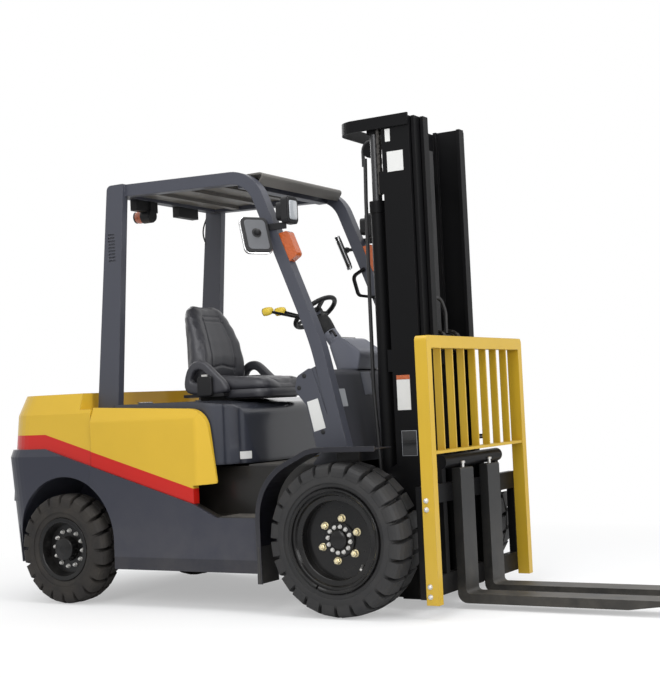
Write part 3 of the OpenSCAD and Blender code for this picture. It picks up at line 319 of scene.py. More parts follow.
# Lighter than the grey plastic of the dash: painted light, for the lit top of the cowl.
cowl_plastic = finish(
    "cowl_plastic", (0.15, 0.158, 0.195), rough=0.42, coat=0.2, dust=0.06, grain=900, cells=0.7, bump=0.2,
    depth=0.0004, edge=0.022)
black_plastic = finish(
    "black_plastic", (0.011, 0.011, 0.012), rough=0.50, specular=0.3, dust=0.08, grain=900, cells=0.7,
    bump=0.30, depth=0.0004, edge=0.004)
grey_plastic = finish(
    "grey_plastic", (0.032, 0.033, 0.041), rough=0.48, specular=0.4, dust=0.08, grain=900, cells=0.7,
    bump=0.28, depth=0.0004, edge=0.006)
speckled_grey = finish(
    "speckled_grey", (0.085, 0.088, 0.096), rough=0.42, coat=0.2, tone=0.5, grain=700, cells=0.8,
    bump=0.4, depth=0.0006, edge=0.004)
hose_rubber = finish(
    "hose_rubber", (0.017, 0.017, 0.018), rough=0.60, dust=0.15, grain=700, cells=0.4, bump=0.25,
    depth=0.0004, edge=0.001)
bright_steel = finish(
    "bright_steel", (0.62, 0.62, 0.63), rough=0.22, metal=1.0, tone=0.05, grain=800, bump=0.05,
    edge=0.0015)
chain_steel = finish(
    "chain_steel", (0.060, 0.056, 0.052), rough=0.40, metal=0.7, tone=0.2, grain=500, bump=0.1,
    edge=0.001)
oiled_steel = finish(
    "oiled_steel", (0.045, 0.045, 0.047), rough=0.32, metal=0.7, tone=0.12, grain=700, bump=0.05,
    edge=0.002)
gold_zinc = finish(
    "gold_zinc", (0.76, 0.68, 0.46), rough=0.34, metal=0.9, tone=0.3, grain=900, bump=0.10, edge=0.0012)
zinc = finish(
    "zinc", (0.60, 0.59, 0.57), rough=0.36, metal=0.9, tone=0.2, grain=900, bump=0.10, edge=0.0012)
fork_steel = finish(
    "fork_steel", (0.014, 0.014, 0.014), rough=0.46, specular=0.3, wear_and_highlight=((0.16, 0.15, 0.145), 0.6),
    dust=0.20, dust_reach=0.5, grain=260, bump=0.18, edge=0.004)
plate_white = finish(
    "plate_white", (0.70, 0.70, 0.68), rough=0.45, tone=0.05, grain=800, bump=0.05, edge=0.001)
plate_grey = finish(
    "plate_grey", (0.30, 0.31, 0.33), rough=0.40, tone=0.08, grain=800, bump=0.05, edge=0.001)
knob_yellow = finish(
    "knob_yellow", (0.72, 0.52, 0.045), rough=0.42, dust=0.05, grain=700, bump=0.12)
mirror_glass = finish(
    "mirror_glass", (0.80, 0.81, 0.82), rough=0.05, metal=1.0, tone=0.0, grain=500, bump=0.01, edge=0.001,
    rough_swing=0.02)
chrome = finish(
    "chrome", (0.72, 0.72, 0.73), rough=0.14, metal=1.0, tone=0.03, grain=600, bump=0.03, edge=0.001)
lens_orange = finish(
    "lens_orange", (0.46, 0.085, 0.007), rough=0.24, coat=0.6, tone=0.12, grain=90, cells=1.0, bump=0.7,
    depth=0.004, edge=0.004)
lens_clear = finish(
    "lens_clear", (0.40, 0.42, 0.44), rough=0.16, coat=0.8, tone=0.06, grain=110, cells=1.0, bump=0.5,
    depth=0.003, edge=0.002)
dial_black = finish(
    "dial_black", (0.010, 0.010, 0.011), rough=0.15, coat=0.8, tone=0.02, grain=600, bump=0.02)
floor_rubber = finish(
    "floor_rubber", (0.024, 0.024, 0.025), rough=0.70, dust=0.4, dust_reach=1.2, grain=500, cells=0.6,
    bump=0.8, depth=0.003, edge=0.002, height_nodes=lambda tree, place: ribs(tree, place, "Y", 36))
seat_vinyl = finish(
    "seat_vinyl", (0.038, 0.038, 0.045), rough=0.40, specular=0.55, tone=0.18, dust=0.05, grain=520,
    cells=0.85, bump=0.32, depth=0.0006, edge=0.004, rough_swing=0.16)


def tyre_colour(base, soil):
    """Colours of rubber that is paler and browner in patches."""
    def build(tree, place):
        cloud = ramp(tree, noise(tree, place, 9.0, 6.0, 0.65), 0.35, 0.75)
        return mix_colour(tree, math_node(tree, "MULTIPLY", cloud, 0.55), (*base, 1), (*soil, 1))
    return build


def tread_lines(tree, place):
    return ribs(tree, place, "Y", 60)


front_rubber = finish(
    "front_rubber", tyre_colour((0.019, 0.019, 0.020), (0.040, 0.038, 0.036)), rough=0.66, specular=0.35,
    tone=0.2, grain=240, cells=0.3, bump=0.30, depth=0.0010, edge=0.004, height_nodes=tread_lines)
rear_rubber = finish(
    "rear_rubber", tyre_colour((0.020, 0.018, 0.017), (0.054, 0.047, 0.038)), rough=0.74, specular=0.3,
    tone=0.25, grain=200, cells=0.3, bump=0.35, depth=0.0012, edge=0.004, height_nodes=tread_lines)

for names, material in (
    ("frame", slate_paint), ("counterweight side_covers", body_paint), ("tow_pin", bright_steel),
    ("floor_plate", floor_rubber), ("dash", grey_plastic), ("instrument_cowl steering_column", cowl_plastic),
    ("pedals steering_wheel work_lamps rear_lamps mirrors", black_plastic),
    ("control_levers grab_handle", mast_paint), ("overhead_guard", guard_paint), ("roof_panel", roof_paint),
    ("fenders", fender_paint), ("turn_lamps", lens_orange),
    ("drive_axle engine_block steer_axle knuckle_right knuckle_left", cast_black),
    ("front_rim_right front_rim_left rear_rim_right rear_rim_left", rim_paint),
    ("front_tyre_right front_tyre_left", front_rubber), ("rear_tyre_right rear_tyre_left", rear_rubber),
    ("hood", hood_plastic), ("seat_base", black_plastic),
    ("seat_cushion seat_back hip_restraints", seat_vinyl),
    ("mast_outer mast_middle mast_inner carriage lift_barrels free_lift_barrel", mast_paint),
    ("tilt_barrel_right tilt_barrel_left", mast_paint),
    ("lift_rods free_lift_head", oiled_steel), ("tilt_rod_right tilt_rod_left", bright_steel),
    ("chain_rear_runs lift_chains", chain_steel), ("load_backrest", yellow_paint), ("forks", fork_steel),
):
    for name in names.split():
        solids[name].data.materials.clear()
        solids[name].data.materials.append(material)


# Mesh makers

def mesh_object(name, points, faces, material, smooth=True):
    mesh = bpy.data.meshes.new(name)
    mesh.from_pydata([tuple(p) for p in points], [], faces)
    shape = bmesh.new()
    shape.from_mesh(mesh)
    bmesh.ops.remove_doubles(shape, verts=shape.verts, dist=1e-6)
    bmesh.ops.recalc_face_normals(shape, faces=shape.faces)
    shape.to_mesh(mesh)
    shape.free()
    for face in mesh.polygons:
        face.use_smooth = smooth
    if smooth:
        mesh.set_sharp_from_angle(angle=math.radians(38))
    mesh.materials.append(material)
    piece = bpy.data.objects.new(name, mesh)
    bpy.context.collection.objects.link(piece)
    return piece


def loft(rings, ring_closed=True, path_closed=False, caps=True):
    """Points and faces of a skin through rings that have the same number of points."""
    count = len(rings[0])
    points = [p for ring in rings for p in ring]
    faces = []
    for i in range(len(rings) if path_closed else len(rings) - 1):
        j = (i + 1) % len(rings)
        for k in range(count if ring_closed else count - 1):
            n = (k + 1) % count
            faces.append((i * count + k, i * count + n, j * count + n, j * count + k))
    if caps and not path_closed:
        faces.append(tuple(range(count)))
        faces.append(tuple(range(len(points) - count, len(points))))
    return points, faces


def around_axle(profile, steps):
    """Rings of a profile of (radius, y) turned about an axle along Y through the origin."""
    rings = []
    for i in range(steps):
        a = 2 * math.pi * i / steps
        rings.append([Vector((r * math.sin(a), y, r * math.cos(a))) for r, y in profile])
    return loft(rings, ring_closed=False, path_closed=True, caps=False)


def shifted(points, place):
    return [Vector(p) + place for p in points]


def joined(*parts):
    points, faces = [], []
    for more_points, more_faces in parts:
        start = len(points)
        points += list(more_points)
        faces += [tuple(i + start for i in face) for face in more_faces]
    return points, faces


def rounded_rectangle(half_a, half_b, r, n=5):
    corners = []
    for start, sign_a, sign_b in ((0, 1, 1), (90, -1, 1), (180, -1, -1), (270, 1, -1)):
        for i in range(n + 1):
            a = math.radians(start + 90 * i / n)
            corners.append((sign_a * (half_a - r) + r * math.cos(a), sign_b * (half_b - r) + r * math.sin(a)))
    return corners


def slab(outline, thickness, edge):
    """A flat plate with rounded rims: outline of (u, v), lying from w = 0 to w = thickness."""
    def ring(w, inset):
        middle = Vector([sum(axis) / len(outline) for axis in zip(*outline)])
        made = []
        for p in outline:
            v = Vector(p) - middle
            made.append(Vector((*(middle + v * (1 - inset / max(v.length, 1e-6))), w)))
        return made
    return loft([ring(0, 0), ring(thickness - edge, 0), ring(thickness - edge * 0.3, edge * 0.3),
                 ring(thickness, edge)])


def placed(part, matrix):
    return [matrix @ Vector(p) for p in part[0]], part[1]


def rounded_plate(halves, corner, thickness, edge, place):
    return placed(slab(rounded_rectangle(*halves, corner), thickness, edge), place)


def frame_from(origin, w, up=Vector((0, 0, 1))):
    """A place whose third axis is w and whose second axis is as near to up as it can be."""
    w = Vector(w).normalized()
    u = Vector(up).cross(w).normalized()
    v = w.cross(u)
    return Matrix.Translation(origin) @ Matrix((u, v, w)).transposed().to_4x4()


def spun(start, end, profile, sides=24):
    """A turned part between two places: profile of (share of the way, radius)."""
    way = Vector(end) - Vector(start)
    up = Vector((1, 0, 0)) if abs(way.normalized().z) > 0.9 else Vector((0, 0, 1))
    place = frame_from(Vector(start), way, up)
    turns = [2 * math.pi * i / sides for i in range(sides)]
    return loft([[place @ Vector((r * math.cos(a), r * math.sin(a), t * way.length)) for a in turns]
                 for t, r in profile])


def crate(x, y, z):
    """A plain box between two places on each axis, in millimetres."""
    corners = [at(a, b, c) for a in x for b in y for c in z]
    return corners, [(0, 1, 3, 2), (4, 6, 7, 5), (0, 4, 5, 1), (2, 3, 7, 6), (0, 2, 6, 4), (1, 5, 7, 3)]


def rectangle(x, z):
    return [(x[0], z[0]), (x[1], z[0]), (x[1], z[1]), (x[0], z[1])]


def side_plate(outline, y, thickness):
    """A thin plate on a side face: outline of (x, z), standing out from y by a signed thickness."""
    return loft([[at(x, y, z) for x, z in outline], [at(x, y + thickness, z) for x, z in outline]])


def frozen(piece):
    """Turns a piece and its modifiers into a plain mesh."""
    graph = bpy.context.evaluated_depsgraph_get()
    shaped = piece.evaluated_get(graph)
    mesh = bpy.data.meshes.new_from_object(shaped, preserve_all_data_layers=True, depsgraph=graph)
    piece.modifiers.clear()
    piece.data = mesh
    return piece


# Geometry node trees for what repeats or follows a path

def new_tree(name, inputs):
    tree = bpy.data.node_groups.new(name, "GeometryNodeTree")
    tree.interface.new_socket("Geometry", in_out="INPUT", socket_type="NodeSocketGeometry")
    for label, kind, value in inputs:
        socket = tree.interface.new_socket(label, in_out="INPUT", socket_type=kind)
        if value is not None:
            socket.default_value = value
    tree.interface.new_socket("Geometry", in_out="OUTPUT", socket_type="NodeSocketGeometry")
    return tree, tree.nodes.new("NodeGroupInput"), tree.nodes.new("NodeGroupOutput")


def end_tree(tree, given, out, instances):
    real = node(tree, "GeometryNodeRealizeInstances", Geometry=instances)
    dressed = node(tree, "GeometryNodeSetMaterial", Geometry=real.outputs[0],
                   Material=given.outputs["Material"])
    tree.links.new(dressed.outputs[0], out.inputs[0])


def build_ring_tree():
    """Repeats a piece in a ring about an axis through a centre."""
    tree, given, out = new_tree("ring_of_pieces", [
        ("Count", "NodeSocketInt", 6), ("Centre", VECTOR, (0, 0, 0)), ("Axis", VECTOR, (0, 1, 0)),
        ("Start", FLOAT, 0.0), ("Material", "NodeSocketMaterial", None)])
    spots = node(tree, "GeometryNodePoints", Count=given.outputs["Count"],
                 Position=given.outputs["Centre"])
    share = math_node(tree, "DIVIDE", 2 * math.pi, given.outputs["Count"])
    number = tree.nodes.new("GeometryNodeInputIndex").outputs[0]
    angle = math_node(tree, "ADD", math_node(tree, "MULTIPLY", number, share), given.outputs["Start"])
    turned = node(tree, "FunctionNodeAxisAngleToRotation", Axis=given.outputs["Axis"], Angle=angle)
    copies = node(tree, "GeometryNodeInstanceOnPoints", Points=spots.outputs[0],
                  Instance=given.outputs["Geometry"], Rotation=turned.outputs[0])
    end_tree(tree, given, out, copies.outputs[0])
    return tree


def build_row_tree():
    """Repeats a piece in a straight row."""
    tree, given, out = new_tree("row_of_pieces", [
        ("Count", "NodeSocketInt", 6), ("First", VECTOR, (0, 0, 0)), ("Step", VECTOR, (0, 0, 0.1)),
        ("Material", "NodeSocketMaterial", None)])
    spots = node(tree, "GeometryNodeMeshLine", {"mode": "OFFSET"}, Count=given.outputs["Count"],
                 Start_Location=given.outputs["First"], Offset=given.outputs["Step"])
    copies = node(tree, "GeometryNodeInstanceOnPoints", Points=spots.outputs[0],
                  Instance=given.outputs["Geometry"])
    end_tree(tree, given, out, copies.outputs[0])
    return tree


def build_tube_tree():
    """Draws a round tube along the edges of a path, with its corners rounded."""
    tree, given, out = new_tree("tube_on_path", [
        ("Radius", FLOAT, 0.01), ("Bend", FLOAT, 0.05), ("Sides", "NodeSocketInt", 12),
        ("Material", "NodeSocketMaterial", None)])
    line = node(tree, "GeometryNodeMeshToCurve", Mesh=given.outputs["Geometry"])
    soft = node(tree, "GeometryNodeFilletCurve", {"mode": "POLY"}, Curve=line.outputs[0], Count=7,
                Radius=given.outputs["Bend"], Limit_Radius=True)
    section = node(tree, "GeometryNodeCurvePrimitiveCircle", Resolution=given.outputs["Sides"],
                   Radius=given.outputs["Radius"])
    skin = node(tree, "GeometryNodeCurveToMesh", Curve=soft.outputs[0],
                Profile_Curve=section.outputs[0], Fill_Caps=True)
    round_skin = node(tree, "GeometryNodeSetShadeSmooth", Geometry=skin.outputs[0])
    end_tree(tree, given, out, round_skin.outputs[0])
    return tree


ring_tree = build_ring_tree()
row_tree = build_row_tree()
tube_tree = build_tube_tree()


def through_tree(piece, tree, **inputs):
    """Runs a piece through a node tree with the named inputs and keeps the result as a plain mesh."""
    modifier = piece.modifiers.new(tree.name, "NODES")
    modifier.node_group = tree
    for item in tree.interface.items_tree:
        if item.in_out == "INPUT" and item.name in inputs:
            modifier[item.identifier] = inputs[item.name]
    return frozen(piece)


def mount(piece, body):
    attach(piece, body)
    return piece


def add(name, part, material, body, smooth=False):
    return mount(mesh_object(name, *part, material, smooth), body)


def ring_of(name, part, material, count, centre, start=0.0):
    """Repeats a part about an axle along Y through a centre."""
    piece = mesh_object(name, *part, material, smooth=False)
    return through_tree(piece, ring_tree, Count=count, Centre=tuple(centre), Axis=(0, 1, 0), Start=start,
                        Material=material)


def row_of(name, part, material, count, first, step, smooth=False):
    piece = mesh_object(name, *part, material, smooth)
    return through_tree(piece, row_tree, Count=count, First=tuple(first), Step=tuple(step), Material=material)


def tube(name, path, radius, bend, material, sides=12):
    mesh = bpy.data.meshes.new(name)
    mesh.from_pydata([tuple(p) for p in path], [(i, i + 1) for i in range(len(path) - 1)], [])
    piece = bpy.data.objects.new(name, mesh)
    bpy.context.collection.objects.link(piece)
    return through_tree(piece, tube_tree, Radius=radius, Bend=bend, Sides=sides, Material=material)


def merge(piece, other):
    """Adds another piece of the same material to a piece."""
    shape = bmesh.new()
    shape.from_mesh(piece.data)
    shape.from_mesh(other.data)
    shape.to_mesh(piece.data)
    shape.free()
    bpy.data.objects.remove(other)
    return piece


# Tyres: a carcass with lugs that wrap over the shoulder, half a pitch apart from side to side

WHEELBASE = 1750
FRONT_R = 375
REAR_R = 300


def front_axle(y):
    return at(0, y, FRONT_R)


def rear_axle(y):
    return at(-WHEELBASE, y, REAR_R)


def lug(crown, floor, widths, skews, turn):
    """One lug from floor up to crown; its widths and skews run along the tread's circumference."""
    rings = []
    for (r, y), (r0, y0), w, s in zip(crown, floor, widths, skews):
        top = [((s - w) / r, r, y), ((s + w) / r, r, y)]
        foot = [((s + w * 1.08) / r0, r0, y0), ((s - w * 1.08) / r0, r0, y0)]
        rings.append([Vector((q * math.sin(a + turn), v, q * math.cos(a + turn))) for a, q, v in top + foot])
    return loft(rings)


def tyre(name, solid, body, centre, sizes, lugs, groove, material):
    """A tyre on a wheel body; sizes are its radius, half its width and the rim's radius in millimetres."""
    r, h, rim = mm(*sizes)
    crown = [(r, 0.05 * h), (r, 0.34 * h), (r - 0.003, 0.66 * h), (r - 0.011, 0.86 * h),
             (r - 0.024, 0.955 * h), (r - 0.042, 0.99 * h), (r - 0.062, 0.995 * h)]
    floor = [(r - 0.036, 0.05 * h), (r - 0.036, 0.34 * h), (r - 0.038, 0.64 * h), (r - 0.044, 0.78 * h),
             (r - 0.052, 0.86 * h), (r - 0.062, 0.90 * h), (r - 0.072, 0.93 * h)]
    pitch = 2 * math.pi * r / lugs
    wide = (pitch - groove) / 2
    widths = [wide * k for k in (0.96, 1, 1, 0.97, 0.93, 0.90, 0.86)]
    skews = [pitch * k for k in (0.16, 0.10, 0.02, 0, 0, 0, 0)]
    mirror = [(q, -v) for q, v in crown], [(q, -v) for q, v in floor]
    half_step = math.pi / lugs
    pair = joined(lug(crown, floor, widths, skews, 0), lug(*mirror, widths, [-s for s in skews], half_step))
    tread = ring_of(name + "_lugs", pair, material, lugs, centre)
    side = [(rim, 0.78 * h), (rim + 0.004, 0.86 * h), (rim + 0.014, 0.91 * h), (rim + 0.026, 0.925 * h),
            (rim + 0.029, 0.955 * h), (rim + 0.036, 0.96 * h), (rim + 0.040, 0.945 * h),
            (rim + 0.5 * (r - 0.07 - rim), 0.985 * h), (r - 0.066, 0.985 * h), (r - 0.058, 0.955 * h),
            (r - 0.046, 0.88 * h), (r - 0.038, 0.70 * h), (r - 0.034, 0.35 * h)]
    profile = side + [(r - 0.034, 0.0)] + [(q, -v) for q, v in reversed(side)]
    points, faces = around_axle(profile, 96)
    piece = merge(mesh_object(name, shifted(points, centre), faces, material), tread)
    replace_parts(mount(piece, body), solid)


for side, name in SIDES:
    tyre("front_tread_" + name, "front_tyre_" + name, "front_wheel_" + name, front_axle(side * 556),
         (FRONT_R, 125, 250), 24, 0.022, front_rubber)
    tyre("rear_tread_" + name, "rear_tyre_" + name, "rear_wheel_" + name, rear_axle(side * 570.5),
         (REAR_R, 87.5, 172), 20, 0.024, rear_rubber)


# Wheel nuts, hub bolts, lock rings, valves and hub caps

def hex_nut(across, height, stud, stud_height, radius):
    """A nut with a washer and a stud end, standing on a wheel's face at the given radius, facing +Y."""
    def turned(sides, *steps):
        turns = [2 * math.pi * i / sides for i in range(sides)]
        return loft([[Vector((r * math.cos(a), y, radius + r * math.sin(a))) for a in turns]
                     for r, y in steps])
    washer = turned(18, (across * 0.66, 0), (across * 0.66, height * 0.12), (across * 0.60, height * 0.2))
    nut = turned(6, (across * 0.577, height * 0.1), (across * 0.577, height * 0.85), (across * 0.48, height))
    top = height + stud_height
    end = turned(10, (stud / 2, height * 0.8), (stud / 2, top - stud * 0.12), (stud * 0.38, top))
    return joined(washer, nut, end)


def turned_side(part, side):
    """A part made for the left side, mirrored for the right side."""
    return part if side > 0 else ([Vector((p[0], -p[1], p[2])) for p in part[0]], part[1])


# Radius and height of the split ring that locks the front tyre on its rim
LOCK_RING = [(0.2365, 0.0), (0.2365, 0.010), (0.243, 0.016), (0.2505, 0.014), (0.256, 0.006), (0.256, -0.004)]
lock_turns = [math.radians(205 + 357.5 * i / 96) for i in range(97)]

for side, name in SIDES:
    wheel = "front_wheel_" + name
    for label, sizes, material, body, count, centre, start in (
        ("front_nuts_", (30, 20, 18, 8, 104.5), gold_zinc, wheel, 6, front_axle(side * 603), 9),
        ("hub_bolts_", (17, 9, 9, 3, 63), zinc, wheel, 12, front_axle(side * 615), 8),
        ("rear_nuts_", (19, 13, 12, 6, 98), zinc, "rear_wheel_" + name, 12, rear_axle(side * 592), 5),
    ):
        nut = turned_side(hex_nut(*mm(*sizes)), side)
        mount(ring_of(label + name, nut, material, count, centre, math.radians(start)), body)
    points, faces = loft([[Vector((r * math.sin(a), side * y, r * math.cos(a))) for r, y in LOCK_RING]
                          for a in lock_turns])
    add("lock_ring_" + name, (shifted(points, front_axle(side * 664)), faces), rim_paint, wheel,
        True)
    stem = [at(x, side * y, FRONT_R - z) for x, y, z in ((120, 606, 122), (126, 624, 128), (134, 650, 136))]
    mount(tube("valve_" + name, stem, 0.006, 0.02, zinc), wheel)
    add("hub_cap_" + name, spun(front_axle(side * 609), front_axle(side * 634),
                                [(0, 0.047), (0.7, 0.047), (0.9, 0.042), (1, 0.030)], 36),
        rim_paint, wheel, True)


# Seat: cushion and back are sewn vinyl over foam, swollen by a cloth simulation and then stitched

def section(half):
    """A closed outline from its left half, which runs from one middle to the other."""
    return half + [(-y, z) for y, z in reversed(half)]


def cushion_rings():
    """Sections along the cushion, from x, half width, bottom, top and how far the bolsters rise."""
    rings = []
    for x, w, low, high, wing in (
        (-1112, 146, 1140, 1178, 0), (-1104, 200, 1126, 1192, 8), (-1060, 221, 1122, 1194, 18),
        (-980, 226, 1121, 1186, 26), (-880, 227, 1121, 1180, 24), (-780, 226, 1121, 1180, 16),
        (-715, 222, 1121, 1184, 8), (-672, 208, 1122, 1180, 3), (-652, 186, 1129, 1168, 0),
        (-644, 146, 1136, 1154, 0),
    ):
        half = [(0, low), (w * 0.5, low), (w - 24, low + 2), (w - 6, low + 14), (w, (low + high) / 2),
                (w - 6, high - 12 + wing), (w - 30, high + wing), (w - 66, high + wing * 0.5),
                (w * 0.45, high - 4), (0, high - 6)]
        rings.append([at(x, y, z) for y, z in section(half)])
    return rings


def back_rings():
    """Sections up the backrest, from z, rear, front, half width and how far the bolsters stand out."""
    rings = []
    for z, rear, front, w, wing in (
        (1128, -1190, -1134, 162, 0), (1146, -1195, -1112, 198, 2), (1190, -1197, -1086, 212, 8),
        (1232, -1199, -1072, 215, 14), (1310, -1203, -1076, 213, 14), (1410, -1209, -1096, 207, 12),
        (1490, -1220, -1126, 198, 9), (1556, -1231, -1155, 181, 6), (1604, -1238, -1177, 150, 3),
        (1628, -1236, -1198, 106, 0),
    ):
        mid = (rear + front) / 2
        half = [(0, rear), (w * 0.6, rear), (w - 16, rear + 8), (w, mid - 6), (w, mid + 8),
                (w - 10, front - 8 + wing), (w - 32, front + wing), (w - 62, front + wing * 0.3),
                (w * 0.4, front - 6), (0, front - 8)]
        rings.append([at(x, y, z) for y, x in section(half)])
    return rings


SKIN_STEP = 0.006
LAST_FRAME = 20


def swell(piece, cap, held_below):
    """Voxel remesh, then cloth under pressure; what lies below a height rests on something and is pinned."""
    remesh = piece.modifiers.new("even_skin", "REMESH")
    remesh.mode = "VOXEL"
    remesh.voxel_size = SKIN_STEP
    frozen(piece)
    start = [v.co.copy() for v in piece.data.vertices]
    pins = piece.vertex_groups.new(name="pins")
    pins.add([v.index for v in piece.data.vertices if v.co.z < held_below], 1.0, "REPLACE")
    cloth = piece.modifiers.new("swelling", "CLOTH")
    cloth.settings.use_pressure = True
    cloth.settings.uniform_pressure_force = 4.0
    cloth.settings.effector_weights.gravity = 0
    cloth.settings.quality = 4
    cloth.settings.tension_stiffness = cloth.settings.compression_stiffness = 60
    cloth.settings.bending_stiffness = 12
    cloth.settings.vertex_group_mass = "pins"
    cloth.point_cache.frame_start = 1
    cloth.point_cache.frame_end = LAST_FRAME
    scene = bpy.context.scene
    for number in range(1, LAST_FRAME + 1):
        scene.frame_set(number)
    frozen(piece)
    scene.frame_set(1)
    for vertex, old in zip(piece.data.vertices, start):
        moved = vertex.co - old
        if moved.length > cap:
            vertex.co = old + moved * (cap / moved.length)
    smooth = piece.modifiers.new("even", "SMOOTH")
    smooth.factor = 0.5
    smooth.iterations = 18
    frozen(piece)
    for face in piece.data.polygons:
        face.use_smooth = True


SEAM_WIDTH = 0.005
SEAM_DEPTH = 0.006


def sew(piece, inward, axes, *seams):
    """Presses sewn grooves into a padded piece along seams that are drawn in the plane of two axes."""
    for path in seams:
        flat = [Vector((p[axes[0]], p[axes[1]])) for p in path]
        for vertex in piece.data.vertices:
            if vertex.normal.dot(inward) > -0.25:
                continue
            spot = Vector((vertex.co[axes[0]], vertex.co[axes[1]]))
            near = 1e9
            for a, b in zip(flat, flat[1:]):
                run = b - a
                t = max(0.0, min(1.0, (spot - a).dot(run) / run.length_squared))
                near = min(near, (spot - a - run * t).length)
            if near < SEAM_WIDTH * 2.5:
                vertex.co += inward * SEAM_DEPTH * math.exp(-((near / SEAM_WIDTH) ** 2))


def cushion_seam(*places):
    return [at(x, y, 0) for x, y in places]


def back_seam(*places):
    return [at(0, y, z) for y, z in places]


cushion = mesh_object("sewn_cushion", *loft(cushion_rings()), seat_vinyl)
swell(cushion, 0.012, 1.125)
sew(cushion, Vector((0, 0, -1)), (0, 1),
    cushion_seam((-1090, -128), (-760, -128), (-690, -110), (-668, -60), (-668, 60), (-690, 110), (-760, 128),
                 (-1090, 128)),
    cushion_seam((-860, -128), (-860, 128)))
backrest = mesh_object("sewn_backrest", *loft(back_rings()), seat_vinyl)
swell(backrest, 0.010, 1.150)
sew(backrest, Vector((-1, 0, 0)), (1, 2),
    back_seam((-112, 1236), (-112, 1420), (-84, 1560), (84, 1560), (112, 1420), (112, 1236)),
    back_seam((-112, 1262), (0, 1278), (112, 1262)), back_seam((-92, 1532), (92, 1532)))
for piece, solid in ((cushion, "seat_cushion"), (backrest, "seat_back")):
    mount(piece, "hood_lid")
    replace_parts(piece, solid)


def pan_skirt():
    """The lip under the cushion's front half, in one band round three sides of the seat's base."""
    turns = [math.radians(a) for a in range(0, 91, 15)]
    corner = [(-726 + 80 * math.sin(a), 154 + 76 * math.cos(a)) for a in turns]
    half = [(-905, 230), (-800, 230)] + corner
    outline = half + [(x, -y) for x, y in reversed(half)]
    lip = ((-22, 1117), (-14, 1122), (0, 1133), (6, 1122), (5, 1104), (-2, 1090), (-22, 1086))
    rings = []
    for i, (x, y) in enumerate(outline):
        ahead, behind = outline[min(i + 1, len(outline) - 1)], outline[max(i - 1, 0)]
        out = Vector((behind[1] - ahead[1], ahead[0] - behind[0])).normalized()
        rings.append([at(x + out.x * n, y + out.y * n, z) for n, z in lip])
    return loft(rings)


add("seat_pan_skirt", pan_skirt(), seat_vinyl, "hood_lid", True)


def hip_wing(side):
    """A moulded arch beside the cushion, with an open middle."""
    outer = [(-1150, 1111), (-1150, 1194), (-1124, 1264), (-1088, 1296), (-1046, 1306), (-1004, 1296),
             (-956, 1252), (-908, 1208), (-868, 1174), (-850, 1134), (-868, 1111), (-1020, 1110)]
    inner = [(-1102, 1184), (-1098, 1208), (-1084, 1234), (-1068, 1246), (-1044, 1250), (-1020, 1243),
             (-1000, 1222), (-984, 1202), (-976, 1190), (-980, 1182), (-1000, 1178), (-1046, 1178)]
    rings = []
    for (x0, z0), (x1, z1) in zip(outer, inner):
        ring = []
        for u, v in rounded_rectangle(0.5, 23, 0.32, 1):
            t = u + 0.5
            ring.append(at(x0 + (x1 - x0) * t, side * (264 + v), z0 + (z1 - z0) * t))
        rings.append(ring)
    return loft(rings, path_closed=True, caps=False)


for side, name in SIDES:
    wing = mesh_object("hip_wing_" + name, *hip_wing(side), seat_vinyl)
    soft = wing.modifiers.new("round", "SUBSURF")
    soft.levels = soft.render_levels = 2
    frozen(wing)
    mount(wing, "hood_lid")
    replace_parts(wing, "hip_restraints")
reel_face = frame_from(at(-994, -287, 1158), (0, -1, 0))
add("belt_reel", rounded_plate((0.048, 0.054), 0.014, 0.020, 0.005, reel_face), black_plastic, "hood_lid")
add("belt_buckle", crate((-1012, -974), (-303, -291), (1206, 1222)), zinc, "hood_lid")


# Lamps, mirrors, lever knobs and dash

beacon_front, beacon_middle, beacon_end = [at(x, -200, 2150) for x in (-1384, -1446, -1506)]
add("beacon_dome", spun(beacon_middle, beacon_end,
                        [(0, 0.037), (0.55, 0.037), (0.8, 0.033), (0.93, 0.024), (1, 0.002)]),
    lens_orange, "chassis", True)
add("beacon_base", spun(beacon_front, beacon_middle, [(0, 0.030), (0.1, 0.040), (1, 0.040)]), black_plastic,
    "chassis", True)

for side, name in SIDES:
    front = frame_from(at(-294, side * 440, 2034), (1, 0, 0))
    add("work_bezel_" + name, rounded_plate((0.050, 0.066), 0.020, 0.006, 0.003, front), black_plastic,
        "chassis")
    add("work_lens_" + name, rounded_plate((0.036, 0.050), 0.014, 0.011, 0.005, front), lens_clear,
        "chassis", True)


def mirror_place(x, y, yaw):
    """The middle of a mirror head, turned as in the part's source; its back faces along +X."""
    lean = Matrix.Rotation(math.radians(-20), 4, "Y")
    return Matrix.Translation(at(x, y, 1907)) @ Matrix.Rotation(math.radians(yaw), 4, "Z") @ lean


for name, place in (("right", mirror_place(-444, -560, -30)), ("left", mirror_place(-553, 520, 30))):
    edge = [place @ Vector((0.002, y, z)) for y, z in rounded_rectangle(0.0765, 0.1005, 0.029, 6)]
    rim = tube("mirror_rim_" + name, edge + edge[:1], 0.0045, 0.002, chrome, 8)
    mount(rim, "chassis")
    glass_face = place @ frame_from(Vector((-0.014, 0, 0)), (-1, 0, 0))
    add("mirror_glass_" + name, rounded_plate((0.066, 0.090), 0.022, 0.003, 0.002, glass_face), mirror_glass,
        "chassis")
    back_face = place @ frame_from(Vector((0.0138, 0, 0)), (1, 0, 0))
    add("mirror_back_" + name, rounded_plate((0.060, 0.084), 0.020, 0.0025, 0.002, back_face), speckled_grey,
        "chassis")
    joint = spun(place @ Vector((0.013, 0, 0.008)), place @ Vector((0.046, 0, 0.008)),
                 [(0, 0.026), (0.15, 0.026), (0.2, 0.018), (0.55, 0.017), (0.85, 0.010), (1, 0.001)])
    add("mirror_joint_" + name, joint, black_plastic, "chassis", True)

